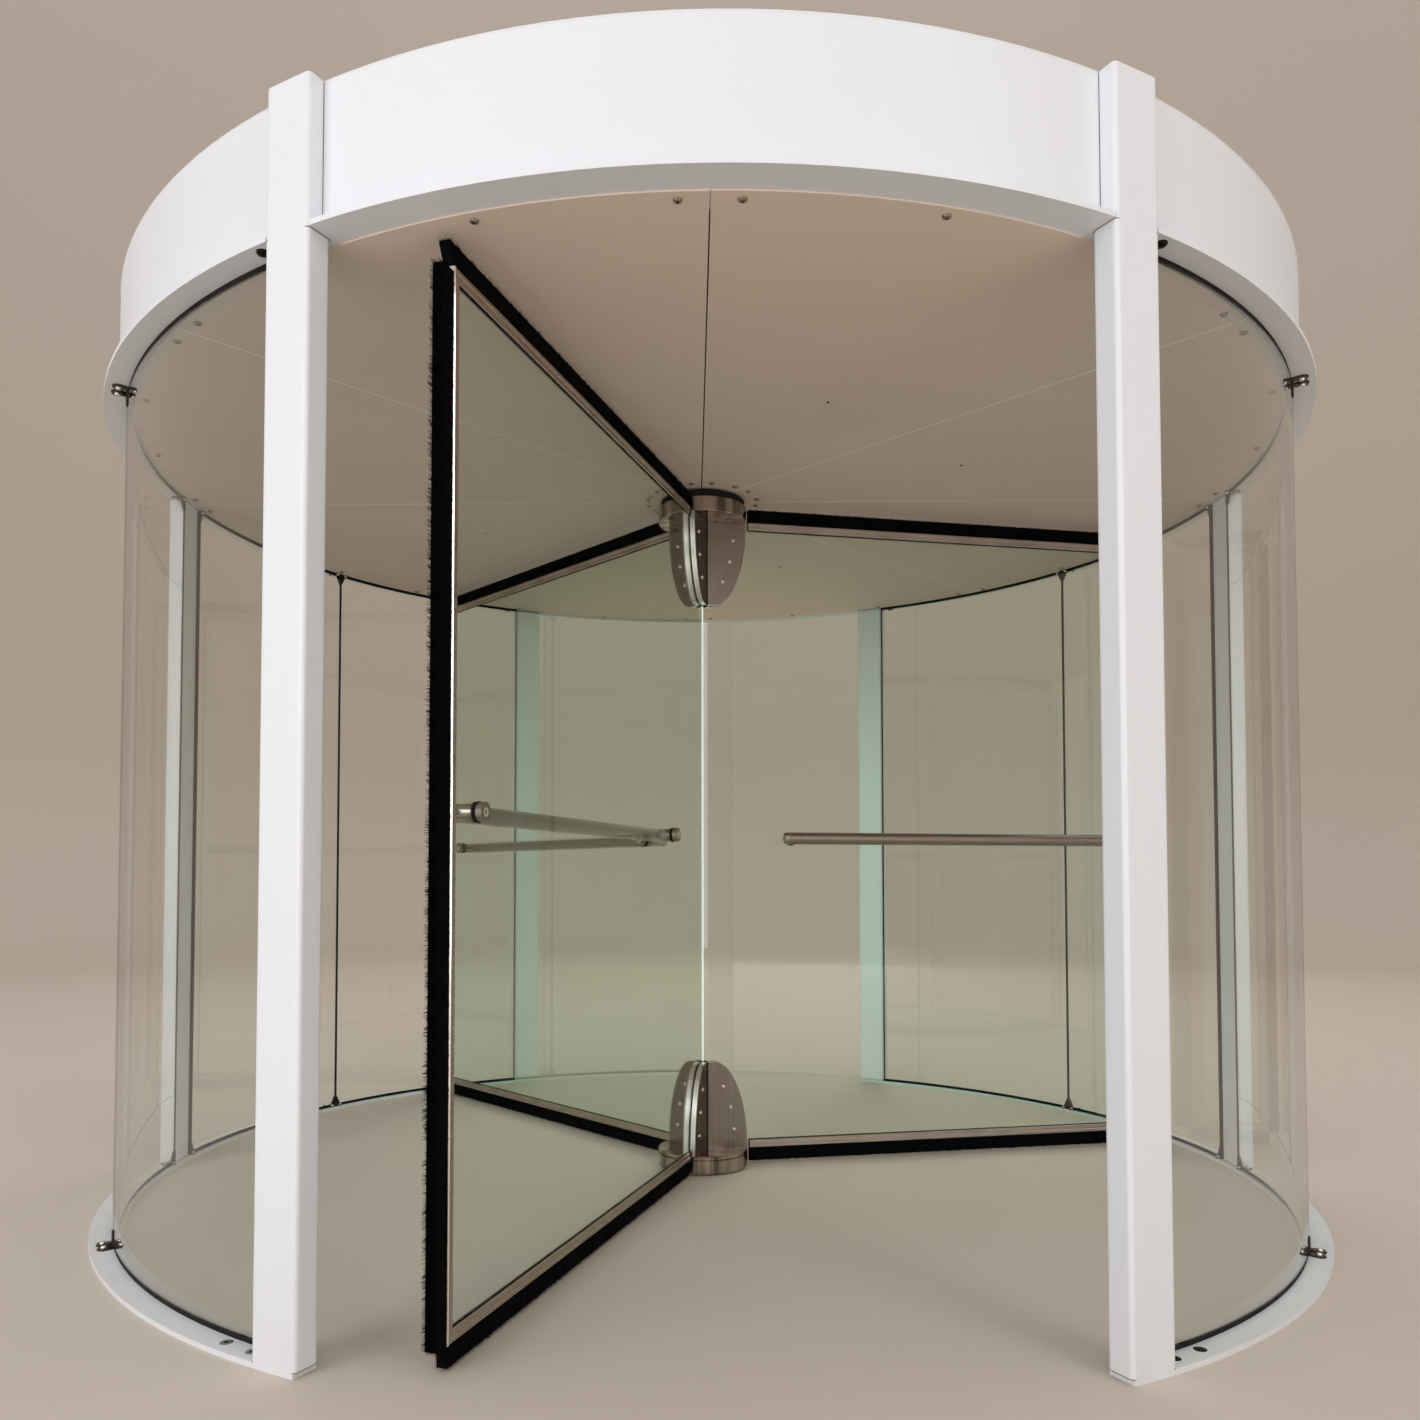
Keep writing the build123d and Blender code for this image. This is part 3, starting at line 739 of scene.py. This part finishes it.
# Domed cap of a push bar, in millimetres, with the end of the tube at nought
BAR_CAP = (
    (0, -15),
    (19.9, -15),
    (20.2, -14.6),
    (20.2, -9),
    (19.4, -5.5),
    (17, -2),
    (13, 0.2),
    (8, 1.3),
    (0, 1.6),
)


def set_fixings(name, profile, spots, diameter, material, seed=1):
    """Fixings of one kind at (point, facing) spots, as one mesh."""
    head = bmesh.new()
    add_turned(head, profile, steps=24)
    source = finish_mesh(f"{name}_pattern", head, material)
    mesh = bpy.data.meshes.new(name)
    mesh.from_pydata([spot for spot, _ in spots], [], [])
    directions = mesh.attributes.new("facing", "FLOAT_VECTOR", "POINT")
    for item, (_, direction) in zip(directions.data, spots):
        item.vector = direction
    piece = bpy.data.objects.new(name, mesh)
    bpy.context.scene.collection.objects.link(piece)
    values = {"Fixing": source, "Diameter": diameter, "Seed": seed, "Material": material}
    bake_tree(piece, keep_tree(fixing_tree, "fixings on points"), values)
    bpy.data.objects.remove(source)
    return piece


def polar(radius, angle, height):
    """Point at a distance from the turning axis, an angle from +X and a height."""
    return Vector((radius * cos(angle), radius * sin(angle), height))


def clip_lines(sizes):
    """Where the lugs of the pane clips stand: the angle, the shift along the wall and the ring's face."""
    half, closer = sizes.lug_spacing / 2, 0.7
    beside = HALF_POST + half * closer
    lines = []
    for side in (0, pi):
        for way in (-1, 1):
            joint = side + way * sizes.joint_angle
            lines += [(joint, -half), (joint, half), (side, way * beside)]
    rings = ((RING_TOP, 1), (SOFFIT, -1))
    return [(angle, shift, level, up) for angle, shift in lines for level, up in rings]


class DoorOperator:
    """What the operators share."""

    bl_options = {"REGISTER", "UNDO"}

    @property
    def sizes(self):
        return bpy.context.scene.door_sizes

    @property
    def colours(self):
        return bpy.context.scene.door_colours

    def material(self, name, maker, *values):
        """A finish that is made once and used by several pieces."""
        return bpy.data.materials.get(name) or maker(*values)

    def bright_steel(self):
        name = "polished stainless steel"
        return self.material(name, polished_steel, name, self.colours.bright)

    def satin_steel(self):
        name = "satin stainless steel"
        return self.material(name, polished_steel, name, shade(self.colours.steel, 1.2), 0.24)

    def rubber(self):
        return self.material("black moulded rubber", black_rubber, self.colours.rubber)


class DOOR_OT_finishes(DoorOperator, bpy.types.Operator):
    """Give every solid of the door its finish"""

    bl_idname = "door.finishes"
    bl_label = "Finishes"

    def execute(self, context):
        colours = self.colours
        white = powder_coat(colours.white)
        ceiling = ceiling_paint(colours.ceiling)
        roof = roof_sheet(colours.white)
        wall_glass = clear_glass("clear curved laminated glass", colours.wall_glass)
        wing_glass = clear_glass("clear toughened glass", colours.wing_glass)
        rubber = self.rubber()
        # Scratches 250 mm long and about a millimetre apart, coarser than real ones, so that they show
        along_wing, up_and_down = (4.0, 900.0, 900.0), (900.0, 900.0, 4.0)
        # Turned steel with upright bands of painted reflection in its colour
        turned = brushed_steel(
            "turned stainless steel",
            shade(colours.steel, 1.6),
            (6.0, 6.0, 1500.0),
            roughness=(0.1, 0.2),
            reflection_streaks=(24.0, 24.0, 0.5),
        )
        faces = [wing_place(number).to_3x3().col[2] for number in WINGS]
        plate = brushed_steel(
            "ground stainless plate",
            shade(colours.steel, 0.85),
            up_and_down,
            roughness=(0.22, 0.34),
            ground_faces=faces,
            polish=colours.bright,
        )
        clip = dark_steel("dark bronze coated steel", colours.clip)
        finishes = {
            "base_ring": white,
            "post": white,
            "soffit_ring": white,
            "fascia": white,
            "ceiling_panels": ceiling,
            "roof_plate": roof,
            "top_bearing": turned,
            "floor_bearing": turned,
            "wall_glass_seals": rubber,
            "wall_glass_clips": clip,
            "wall_glass": wall_glass,
            "wing_glass": wing_glass,
            "hub_collars": turned,
            "hub_seal_ring": rubber,
            "clamp_plates": plate,
            "clamp_gaskets": rubber,
            "wing_brushes": rubber,
        }
        for number, angle in WINGS.items():
            axes = wing_place(number).to_3x3().col
            finishes[f"wing_frame_{number}"] = brushed_steel(
                f"brushed stainless rail {number}",
                shade(colours.steel, 1.35),
                along_wing,
                angle,
                ground_faces=(axes[2], axes[0] * 1.3, axes[1] * 1.3),
                polish=colours.bright,
            )
            finishes[f"push_bar_{number}"] = brushed_steel(
                f"brushed stainless tube {number}",
                shade(colours.steel, 0.98),
                along_wing,
                angle,
                roughness=(0.15, 0.27),
            )
        for name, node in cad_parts.items():
            key = max((k for k in finishes if name.startswith(k)), key=len)
            node.data.materials.clear()
            node.data.materials.append(finishes[key])
        return {"FINISHED"}


def fan_out_top(shape, place):
    """Slant the outer end of the top brush, which fans out from the corner of the frame."""
    overrun, fan, root = TOP_BRUSH_END - STILE_OUTER, 70 * MM, -0.02
    back = place.inverted()
    for vert in shape.verts:
        spot = back @ vert.co
        rise = (spot.y - WING_TOP) / (BRUSH_HIGH - WING_TOP)
        near_end = (spot.x - TOP_BRUSH_END + fan) / fan
        if rise > root and near_end > 0:
            spot.x -= overrun * near_end * (1 - rise)
            vert.co = place @ spot


def brush_backing(name, start, end, way, half, place):
    """Flat strip between two points of a wing, from which the tufts of one brush grow outwards."""
    backing = bmesh.new()
    corners = [(*start, -half), (*end, -half), (*end, half), (*start, half)]
    face = backing.faces.new([backing.verts.new(place @ Vector(c)) for c in corners])
    backing.normal_update()
    if face.normal.dot(place @ Vector((*way, 0))) < 0:
        face.normal_flip()
    mesh = bpy.data.meshes.new(name)
    backing.to_mesh(mesh)
    backing.free()
    strip = bpy.data.objects.new(name, mesh)
    bpy.context.scene.collection.objects.link(strip)
    return strip


class DOOR_OT_brushes(DoorOperator, bpy.types.Operator):
    """Grow the black brushes on the three free edges of each wing"""

    bl_idname = "door.brushes"
    bl_label = "Wing Brushes"

    def execute(self, context):
        sizes = self.sizes
        nylon = nylon_bristle(self.colours.nylon)
        tree = keep_tree(bristle_tree, "brush tufts")
        half, rounding = sizes.bristle_spread / 2, 3 * MM
        low_side, high_side = WING_BOTTOM + 2 * MM, WING_TOP - 11 * MM
        low_reach, high_reach = WING_BOTTOM - BRUSH_LOW, BRUSH_HIGH - WING_TOP
        side_reach = BRUSH_REACH - STILE_OUTER
        # Start, end, way out, reach, shortest and longest tuft, and the share that is a solid core
        strips = (
            ((RAIL_END, WING_BOTTOM), (STILE_OUTER, WING_BOTTOM), (0, -1), low_reach, EVEN_TIPS, 0.92),
            ((RAIL_END, WING_TOP), (TOP_BRUSH_END, WING_TOP), (0, 1), high_reach, EVEN_TIPS, 0.93),
            ((STILE_OUTER, low_side), (STILE_OUTER, high_side), (1, 0), side_reach, FRAYED_TIPS, 0.75),
        )
        for number in WINGS:
            place = wing_place(number)
            made = []
            for index, (start, end, way, reach, tips, _) in enumerate(strips):
                strip = brush_backing(f"tufts_{number}_{index}", start, end, way, half, place)
                values = {
                    "Tuft Length": reach,
                    "Tuft Radius": sizes.bristle_radius,
                    "Tufts per Area": sizes.tuft_density,
                    "Lean": sizes.bristle_lean,
                    "Shortest": tips[0],
                    "Longest": tips[1],
                    "Seed": number * 10 + index,
                    "Material": nylon,
                }
                made.append(bake_tree(strip, tree, values))
            shape = bmesh.new()
            for tufts in made:
                shape.from_mesh(tufts.data)
            for start, end, way, reach, _, core_share in strips:
                core = reach * core_share
                tip = (start[0] + way[0] * core, start[1] + way[1] * core)
                low = [min(values) for values in zip(start, end, tip)]
                high = [max(values) for values in zip(start, end, tip)]
                add_box(shape, (*low, -half), (*high, half), place, rounding)
            fan_out_top(shape, place)
            mesh = bpy.data.meshes.new(f"bristles_{number}")
            shape.to_mesh(mesh)
            shape.free()
            mesh.materials.append(nylon)
            for face in mesh.polygons:
                face.material_index = 0
            piece = bpy.data.objects.new(mesh.name, mesh)
            context.scene.collection.objects.link(piece)
            for tufts in made:
                bpy.data.objects.remove(tufts)
            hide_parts(f"wing_brushes_{number}")
            ride_and_slot(piece, CROSS)
        return {"FINISHED"}


class DOOR_OT_frame_trim(DoorOperator, bpy.types.Operator):
    """Add the gaskets, end caps and polished edges of the wings, and the painted glow of the inner glass
    edges
    """

    bl_idname = "door.frame_trim"
    bl_label = "Wing Trim"

    def execute(self, context):
        sizes = self.sizes
        rail, lip, soft, cap = sizes.rail, sizes.gasket, 0.4 * MM, 1.5 * MM
        half_glass, half_bead = sizes.wing_pane / 2, sizes.bead / 2
        edge_inner, edge_outer = 4.6 * MM, 5 * MM
        width, face, sunk = sizes.stile_strip, sizes.channel / 2, 1 * MM
        proud = face + 1.4 * MM
        # The polished strip slopes at 45 degrees, so that it catches the light
        slope = ((-width, face - sunk), (-width, proud), (0, proud - width), (0, proud - width - sunk))
        gaskets, caps, edges, strips = (bmesh.new() for _ in range(4))
        for number in WINGS:
            place = wing_place(number)
            upright = place @ Matrix.Rotation(pi / 2, 4, "X")
            inner, outer = RAIL_END, STILE_OUTER - rail
            low, high = WING_BOTTOM + rail, WING_TOP - rail
            for side in (-1, 1):
                near, far = sorted((side * half_glass, side * (half_glass + lip)))
                add_box(gaskets, (inner, low, near), (outer, low + lip, far), place, soft)
                add_box(gaskets, (inner, high - lip, near), (outer, high, far), place, soft)
                add_box(gaskets, (outer - lip, low, near), (outer, high, far), place, soft)
                near, far = sorted((side * half_glass, side * half_bead))
                for bottom in (WING_BOTTOM, high):
                    add_box(caps, (inner - cap, bottom, near), (inner, bottom + rail, far), place, soft)
                outline = [(STILE_OUTER + x, side * z) for x, z in slope]
                add_prism(strips, outline, -WING_TOP, -WING_BOTTOM, upright)
            low, high = (edge_inner, CLAMP_TOP, -half_glass), (edge_outer, CLAMP_UNDER, half_glass)
            add_box(edges, low, high, place)
        rubber = self.rubber()
        ride_and_slot(finish_mesh("stile_edge_strips", strips, self.bright_steel()), CROSS)
        ride_and_slot(finish_mesh("wing_glass_gaskets", gaskets, rubber), CROSS)
        ride_and_slot(finish_mesh("rail_end_caps", caps, rubber), CROSS)
        # The inner glass edges get a painted glow.
        finish = glass_edge_glow(self.colours.glass_edge_glow)
        ride_and_slot(finish_mesh("wing_glass_edges", edges, finish), CROSS)
        return {"FINISHED"}


class DOOR_OT_clamp_screws(DoorOperator, bpy.types.Operator):
    """Set the socket screws in the clamp plates at the hub"""

    bl_idname = "door.clamp_screws"
    bl_label = "Clamp Screws"

    def execute(self, context):
        sizes, spots = self.sizes, []
        for number in WINGS:
            place = wing_place(number)
            for root, up in ((HUB_LOW, 1), (HUB_HIGH, -1)):
                for along, height in CLAMP_SCREWS:
                    for side in (-1, 1):
                        spot = Vector((along, root + up * height, side * CLAMP_OUT))
                        spots.append((place @ spot, place @ Vector((0, 0, side))))
        bright = self.bright_steel()
        piece = set_fixings("clamp_screws", DOME_SOCKET, spots, sizes.clamp_screw, bright, seed=3)
        ride_and_slot(piece, CROSS)
        # Rubber fills the narrow corners between the clamp plates of two wings
        seals = bmesh.new()
        corner, clear = CLAMP_OUT / sin(pi / 3), 1 * MM
        inner, outer, narrow, wide = corner - 0.5 * MM, corner + 1.4 * MM, 0.2 * MM, 2.7 * MM
        outline = ((inner, -narrow), (outer, -wide), (outer, wide), (inner, narrow))
        for angle in WINGS.values():
            place = Matrix.Rotation(angle + pi / 3, 4, "Z")
            add_prism(seals, outline, COLLAR_TOP, CLAMP_TOP - clear, place)
            add_prism(seals, outline, CLAMP_UNDER + clear, COLLAR_UNDER, place)
        ride_and_slot(finish_mesh("clamp_corner_seals", seals, self.rubber()), CROSS)
        # A thin black ring round the lower collar: painted shade for the shadow in its groove
        groove = bmesh.new()
        low = COLLAR_TOP - sizes.groove_drop
        high = low + sizes.collar_groove
        inner, outer = COLLAR_RADIUS - 1 * MM, COLLAR_RADIUS + 0.5 * MM
        section = ((inner, low), (outer, low), (outer, high), (inner, high), (inner, low))
        add_turned(groove, section, steps=96)
        ride_and_slot(finish_mesh("collar_groove", groove, self.rubber()), CROSS)
        return {"FINISHED"}


class DOOR_OT_bar_fittings(DoorOperator, bpy.types.Operator):
    """Add the rubber rings at the glass and the domed caps at the ends of the push bars"""

    bl_idname = "door.bar_fittings"
    bl_label = "Push Bar Fittings"

    def execute(self, context):
        rings, caps, screws = bmesh.new(), bmesh.new(), []
        thick, soft = 3 * MM, 0.5 * MM
        # Rings before and behind the glass: place, inner and outer radius
        seats = ((6 * MM, 17.5 * MM, 21.5 * MM), (-9 * MM, 20.5 * MM, 22.5 * MM))
        for number in WINGS:
            place = wing_place(number)
            for along in STANDOFFS:
                for out, inner, outer in seats:
                    section = ((outer - soft, 0), (outer, soft), (outer, thick - soft), (outer - soft, thick))
                    section = ((inner, 0), *section, (inner, thick), (inner, 0))
                    spot = place @ Matrix.Translation((along, BAR_HEIGHT, out))
                    add_turned(rings, section, 40, spot)
                spot = place @ Vector((along, BAR_HEIGHT, -DISC_OUT))
                screws.append((spot, place @ Vector((0, 0, -1))))
            for along, way in BAR_ENDS:
                spot = place @ pointing((along, BAR_HEIGHT, BAR_OUT), (way, 0, 0))
                add_turned(caps, [(r * MM, h * MM) for r, h in BAR_CAP], 40, spot)
        ride_and_slot(finish_mesh("push_bar_gaskets", rings, self.rubber()), CROSS)
        ride_and_slot(finish_mesh("push_bar_caps", caps, self.satin_steel()), CROSS)
        size, bright = self.sizes.disc_screw, self.bright_steel()
        piece = set_fixings("push_bar_screws", FLUSH_SOCKET, screws, size, bright, seed=9)
        ride_and_slot(piece, CROSS)
        return {"FINISHED"}


class DOOR_OT_pane_lugs(DoorOperator, bpy.types.Operator):
    """Add the round lugs of the pane clips and their screws"""

    bl_idname = "door.pane_lugs"
    bl_label = "Pane Clip Lugs"

    def execute(self, context):
        sizes = self.sizes
        lugs, shade_pads, spots = bmesh.new(), bmesh.new(), []
        middle = (GLASS_INNER + GLASS_OUTER) / 2
        outer_end = GLASS_OUTER + sizes.lug_reach
        inner_end = RING_INNER + 1 * MM + sizes.inner_lug_radius
        margin = 1.5 * MM
        for angle, shift, level, up in clip_lines(sizes):
            place = Matrix.Rotation(angle, 4, "Z")
            pad, top = level + up * sizes.lug_shade_pad, level + up * sizes.lug_thickness
            for centre, radius in ((outer_end, sizes.lug_radius), (inner_end, sizes.inner_lug_radius)):
                outline = lug_outline(middle, centre, sizes.lug_neck, radius, shift)
                # Each rubber pad is a little wider than its lug: its dark rim is painted shade round the lug
                add_prism(shade_pads, outline, *sorted((level, pad)), place)
                outline = lug_outline(middle, centre, sizes.lug_neck - margin, radius - margin, shift)
                add_prism(lugs, outline, *sorted((pad, top)), place)
                spots.append((place @ Vector((centre, shift, top)), (0, 0, up)))
        bronze = self.material("worn bronze lugs", dark_steel, "worn bronze lugs", self.colours.lug)
        ride_and_slot(finish_mesh("pane_clip_lugs", lugs, bronze), DRUM)
        ride_and_slot(finish_mesh("pane_clip_pads", shade_pads, self.rubber()), DRUM)
        bright = self.bright_steel()
        screws = set_fixings("pane_clip_screws", DOME_SOCKET, spots, sizes.lug_screw, bright, seed=5)
        ride_and_slot(screws, DRUM)
        return {"FINISHED"}


class DOOR_OT_drum_screws(DoorOperator, bpy.types.Operator):
    """Set the screws of the ceiling, the rings and the roof"""

    bl_idname = "door.drum_screws"
    bl_label = "Drum Screws"

    def execute(self, context):
        sizes, colours = self.sizes, self.colours
        ceiling, hub, plugs, base_left, base_right, soffit, roof = ([] for _ in range(7))
        down, up = Vector((0, 0, -1)), Vector((0, 0, 1))
        for sector in range(SECTORS):
            joint = -pi / 2 + sector * 2 * pi / SECTORS
            for way in (-1, 1):
                hub.append((polar(HUB_ROW, joint + way * radians(BESIDE_HUB_JOINT), CEILING), down))
            for beside in BESIDE_JOINT:
                for way in (-1, 1):
                    ceiling.append((polar(CEILING_ROW, joint + way * radians(beside), CEILING), down))
            plugs.append((polar(PLUG_ROW, joint + pi / SECTORS, CEILING), down))
            for step in range(3):
                roof.append((polar(ROOF_ROW, joint + step * pi / 12, ROOF_TOP), up))
        for front in (-pi / 2, pi / 2):
            for way in (-1, 1):
                for beside in BESIDE_OPENING:
                    spot = polar(BASE_ROW, front + way * radians(beside), RING_TOP)
                    (base_right if spot.x > 0 else base_left).append((spot, up))
                soffit.append((polar(SOFFIT_ROW, front + way * radians(AT_POST), SOFFIT), down))
        plain = self.material("plain steel", polished_steel, "plain steel", colours.plain, 0.3)
        dark = self.material("blackened steel", dark_steel, "blackened steel", colours.blackened)
        zinc = self.material("zinc plated steel", polished_steel, "zinc plated steel", colours.zinc, 0.3)
        bright, rubber = self.bright_steel(), self.rubber()
        # Dark rubber rings a little wider than the base screws: their rims are painted shade round the screws
        shade_rings, under = base_left + base_right, sizes.plate_shade_ring
        for name, profile, spots, size, finish, slot in (
            ("ceiling_screws", DOME_SOCKET, ceiling, sizes.screw_diameter, zinc, "brushed_steel"),
            ("hub_screws", DOME_SOCKET, hub, sizes.screw_diameter, zinc, "brushed_steel"),
            ("base_plate_screws_left", FLUSH_SOCKET, base_left, sizes.plate_screw, plain, "brushed_steel"),
            ("base_plate_washers", SHADE_RING, shade_rings, under, rubber, "black_rubber"),
            ("base_plate_screws_right", FLUSH_SOCKET, base_right, sizes.plate_screw, dark, "clip_steel"),
            ("soffit_screws", DOME_PLAIN, soffit, sizes.soffit_screw, dark, "clip_steel"),
            ("ceiling_plugs", DOME_PLAIN, plugs, sizes.ceiling_plug, rubber, "black_rubber"),
            ("roof_screws", DOME_SOCKET, roof, sizes.roof_screw, bright, "brushed_steel"),
        ):
            ride_and_slot(set_fixings(name, profile, spots, size, finish, seed=7), DRUM)
        return {"FINISHED"}


class DOOR_OT_canopy_rim(DoorOperator, bpy.types.Operator):
    """Add the folded edge along the top of the canopy"""

    bl_idname = "door.canopy_rim"
    bl_label = "Canopy Rim"

    def execute(self, context):
        shape = bmesh.new()
        inner, outer = FASCIA_RADIUS - 3 * MM, FASCIA_RADIUS + 0.6 * MM
        low = CANOPY_TOP - self.sizes.rim
        clear = HALF_POST / FASCIA_RADIUS
        for first, second in zip(POSTS, POSTS[1:] + [POSTS[0] + 2 * pi]):
            add_arc(shape, inner, outer, low, CANOPY_TOP, first + clear, second - clear)
        rim = finish_mesh("canopy_rim", shape, bpy.data.materials["satin powder coat on aluminium"])
        ride_and_slot(rim, DRUM)
        return {"FINISHED"}


def post_outline(proud):
    """Outline of a post, grown on all faces but the outer one, which stays just inside the drum."""
    points = []
    half_depth, half_width, corner, inside = POST_DEPTH / 2, HALF_POST, 10 * MM, 0.05 * MM
    for side_x, side_y, begin in ((1, 1, 0), (-1, 1, pi / 2), (-1, -1, pi), (1, -1, 3 * pi / 2)):
        for step in range(5):
            turned = begin + step * pi / 8
            x = side_x * (half_depth - corner) + (corner + proud) * cos(turned)
            y = side_y * (half_width - corner) + (corner + proud) * sin(turned)
            points.append((min(x, half_depth - inside) + DRUM_RADIUS - half_depth, y))
    return points


class DOOR_OT_joint_lines(DoorOperator, bpy.types.Operator):
    """Add painted shade in the joints where the posts meet the rings and the canopy, and pale strips of
    painted highlight in the joints of the ceiling
    """

    bl_idname = "door.joint_lines"
    bl_label = "Joint Lines"

    def execute(self, context):
        dark, pale = bmesh.new(), bmesh.new()
        line, lap = self.sizes.joint_line, 2 * MM
        deep, shallow = FASCIA_RADIUS - 6 * MM, FASCIA_RADIUS - 0.4 * MM
        # Dark strips round the posts and beside them in the canopy: painted shade for the shadow in the
        # joints
        outline = post_outline(0.7 * MM)
        for angle in POSTS:
            place = Matrix.Rotation(angle, 4, "Z")
            for level, up in ((RING_TOP, 1), (SOFFIT, -1)):
                low, high = sorted((level, level + up * line))
                add_prism(dark, outline, low, high, place)
            for side in (-1, 1):
                near, far = sorted((side * (HALF_POST - lap), side * (HALF_POST + line)))
                add_box(dark, (deep, near, SOFFIT_TOP), (shallow, far, CANOPY_TOP - 1 * MM), place)
        # Pale strips in the ceiling joints: painted highlight for the lit edges of the sheets
        half = 2.2 * MM
        low = (CEILING_INNER + lap, -half, CEILING - 0.3 * MM)
        high = (CEILING_OUTER - lap, half, CEILING + 1.5 * MM)
        # The joint over the front opening gets no painted highlight
        for sector in range(1, SECTORS):
            add_box(pale, low, high, Matrix.Rotation(-pi / 2 + sector * 2 * pi / SECTORS, 4, "Z"))
        joint_shade = self.material("grey joint sealant", shade_finish, self.colours.joint_shade)
        joint_highlight = self.material("painted joint filler", highlight_finish, self.colours.joint_highlight)
        ride_and_slot(finish_mesh("post_joint_lines", dark, joint_shade), DRUM)
        ride_and_slot(finish_mesh("ceiling_joint_fill", pale, joint_highlight), DRUM)
        return {"FINISHED"}


class DOOR_OT_stage(DoorOperator, bpy.types.Operator):
    """Set the floor, the soft lights and the camera"""

    bl_idname = "door.stage"
    bl_label = "Stage"

    def execute(self, context):
        scene = context.scene
        cove = bmesh.new()
        # The floor is flat round the door, then rises into a tall wall without an edge
        flat, rise, top = 11.0, 3.0, 17.0
        turns = [pi / 16 * step for step in range(1, 9)]
        curve = [(flat + rise * sin(turned), rise * (1 - cos(turned))) for turned in turns]
        add_turned(cove, [(0, 0), (flat, 0), *curve, (flat + rise, top)], 96)
        floor = finish_mesh("floor", cove, floor_finish(self.colours.floor), 60)
        if any(face.normal.z < -0.01 for face in floor.data.polygons):
            floor.data.flip_normals()
        world = bpy.data.worlds.new("soft sky")
        world.use_nodes = True
        sky = world.node_tree.nodes["Background"]
        sky.inputs["Color"].default_value = self.colours.sky
        sky.inputs["Strength"].default_value = 1.0
        scene.world = world
        scene.view_settings.view_transform = "Standard"
        half_height = Vector((0, 0, 1.1))
        for name, (spot, size, power, tint) in LAMPS.items():
            light = bpy.data.lights.new(name, "AREA")
            light.shape = "RECTANGLE"
            light.size, light.size_y = size
            light.energy = power
            light.color = linear(tint)[:3]
            lamp = bpy.data.objects.new(name, light)
            lamp.matrix_world = pointing(spot, Vector(spot) - half_height)
            lamp.visible_camera = False
            lamp.visible_transmission = False
            scene.collection.objects.link(lamp)
        lens = bpy.data.cameras.new("camera")
        lens.sensor_width = SENSOR
        lens.lens = SENSOR * FOCAL_LENGTH / PICTURE
        lens.shift_x = (PICTURE / 2 - PICTURE_CENTRE[0]) / PICTURE
        lens.shift_y = (PICTURE_CENTRE[1] - PICTURE / 2) / PICTURE
        lens.clip_end = 60.0
        camera = bpy.data.objects.new("camera", lens)
        camera.location = CAMERA_SPOT
        camera.rotation_euler = (radians(CAMERA_TILT), 0.0, radians(CAMERA_SWING))
        scene.collection.objects.link(camera)
        scene.camera = camera
        return {"FINISHED"}


OPERATORS = (
    DOOR_OT_finishes,
    DOOR_OT_brushes,
    DOOR_OT_frame_trim,
    DOOR_OT_clamp_screws,
    DOOR_OT_bar_fittings,
    DOOR_OT_pane_lugs,
    DOOR_OT_drum_screws,
    DOOR_OT_canopy_rim,
    DOOR_OT_joint_lines,
    DOOR_OT_stage,
)


class DOOR_PT_panel(bpy.types.Panel):
    """Lists the steps that dress the door"""

    bl_idname = "DOOR_PT_panel"
    bl_label = "Revolving Door"
    bl_space_type = "VIEW_3D"
    bl_region_type = "UI"
    bl_category = "Revolving Door"

    def draw(self, context):
        for operator in OPERATORS:
            self.layout.operator(operator.bl_idname)
        for group in (context.scene.door_sizes, context.scene.door_colours):
            for name in group.bl_rna.properties.keys():
                if name not in ("rna_type", "name"):
                    self.layout.prop(group, name)


CLASSES = (DoorSizes, DoorColours, *OPERATORS, DOOR_PT_panel)


def register():
    for cls in CLASSES:
        bpy.utils.register_class(cls)
    bpy.types.Scene.door_sizes = bpy.props.PointerProperty(type=DoorSizes)
    bpy.types.Scene.door_colours = bpy.props.PointerProperty(type=DoorColours)


def unregister():
    del bpy.types.Scene.door_colours
    del bpy.types.Scene.door_sizes
    for cls in reversed(CLASSES):
        bpy.utils.unregister_class(cls)


def main():
    register()
    for operator in OPERATORS:
        group, name = operator.bl_idname.split(".")
        getattr(getattr(bpy.ops, group), name)()


if __name__ == "__main__":
    main()
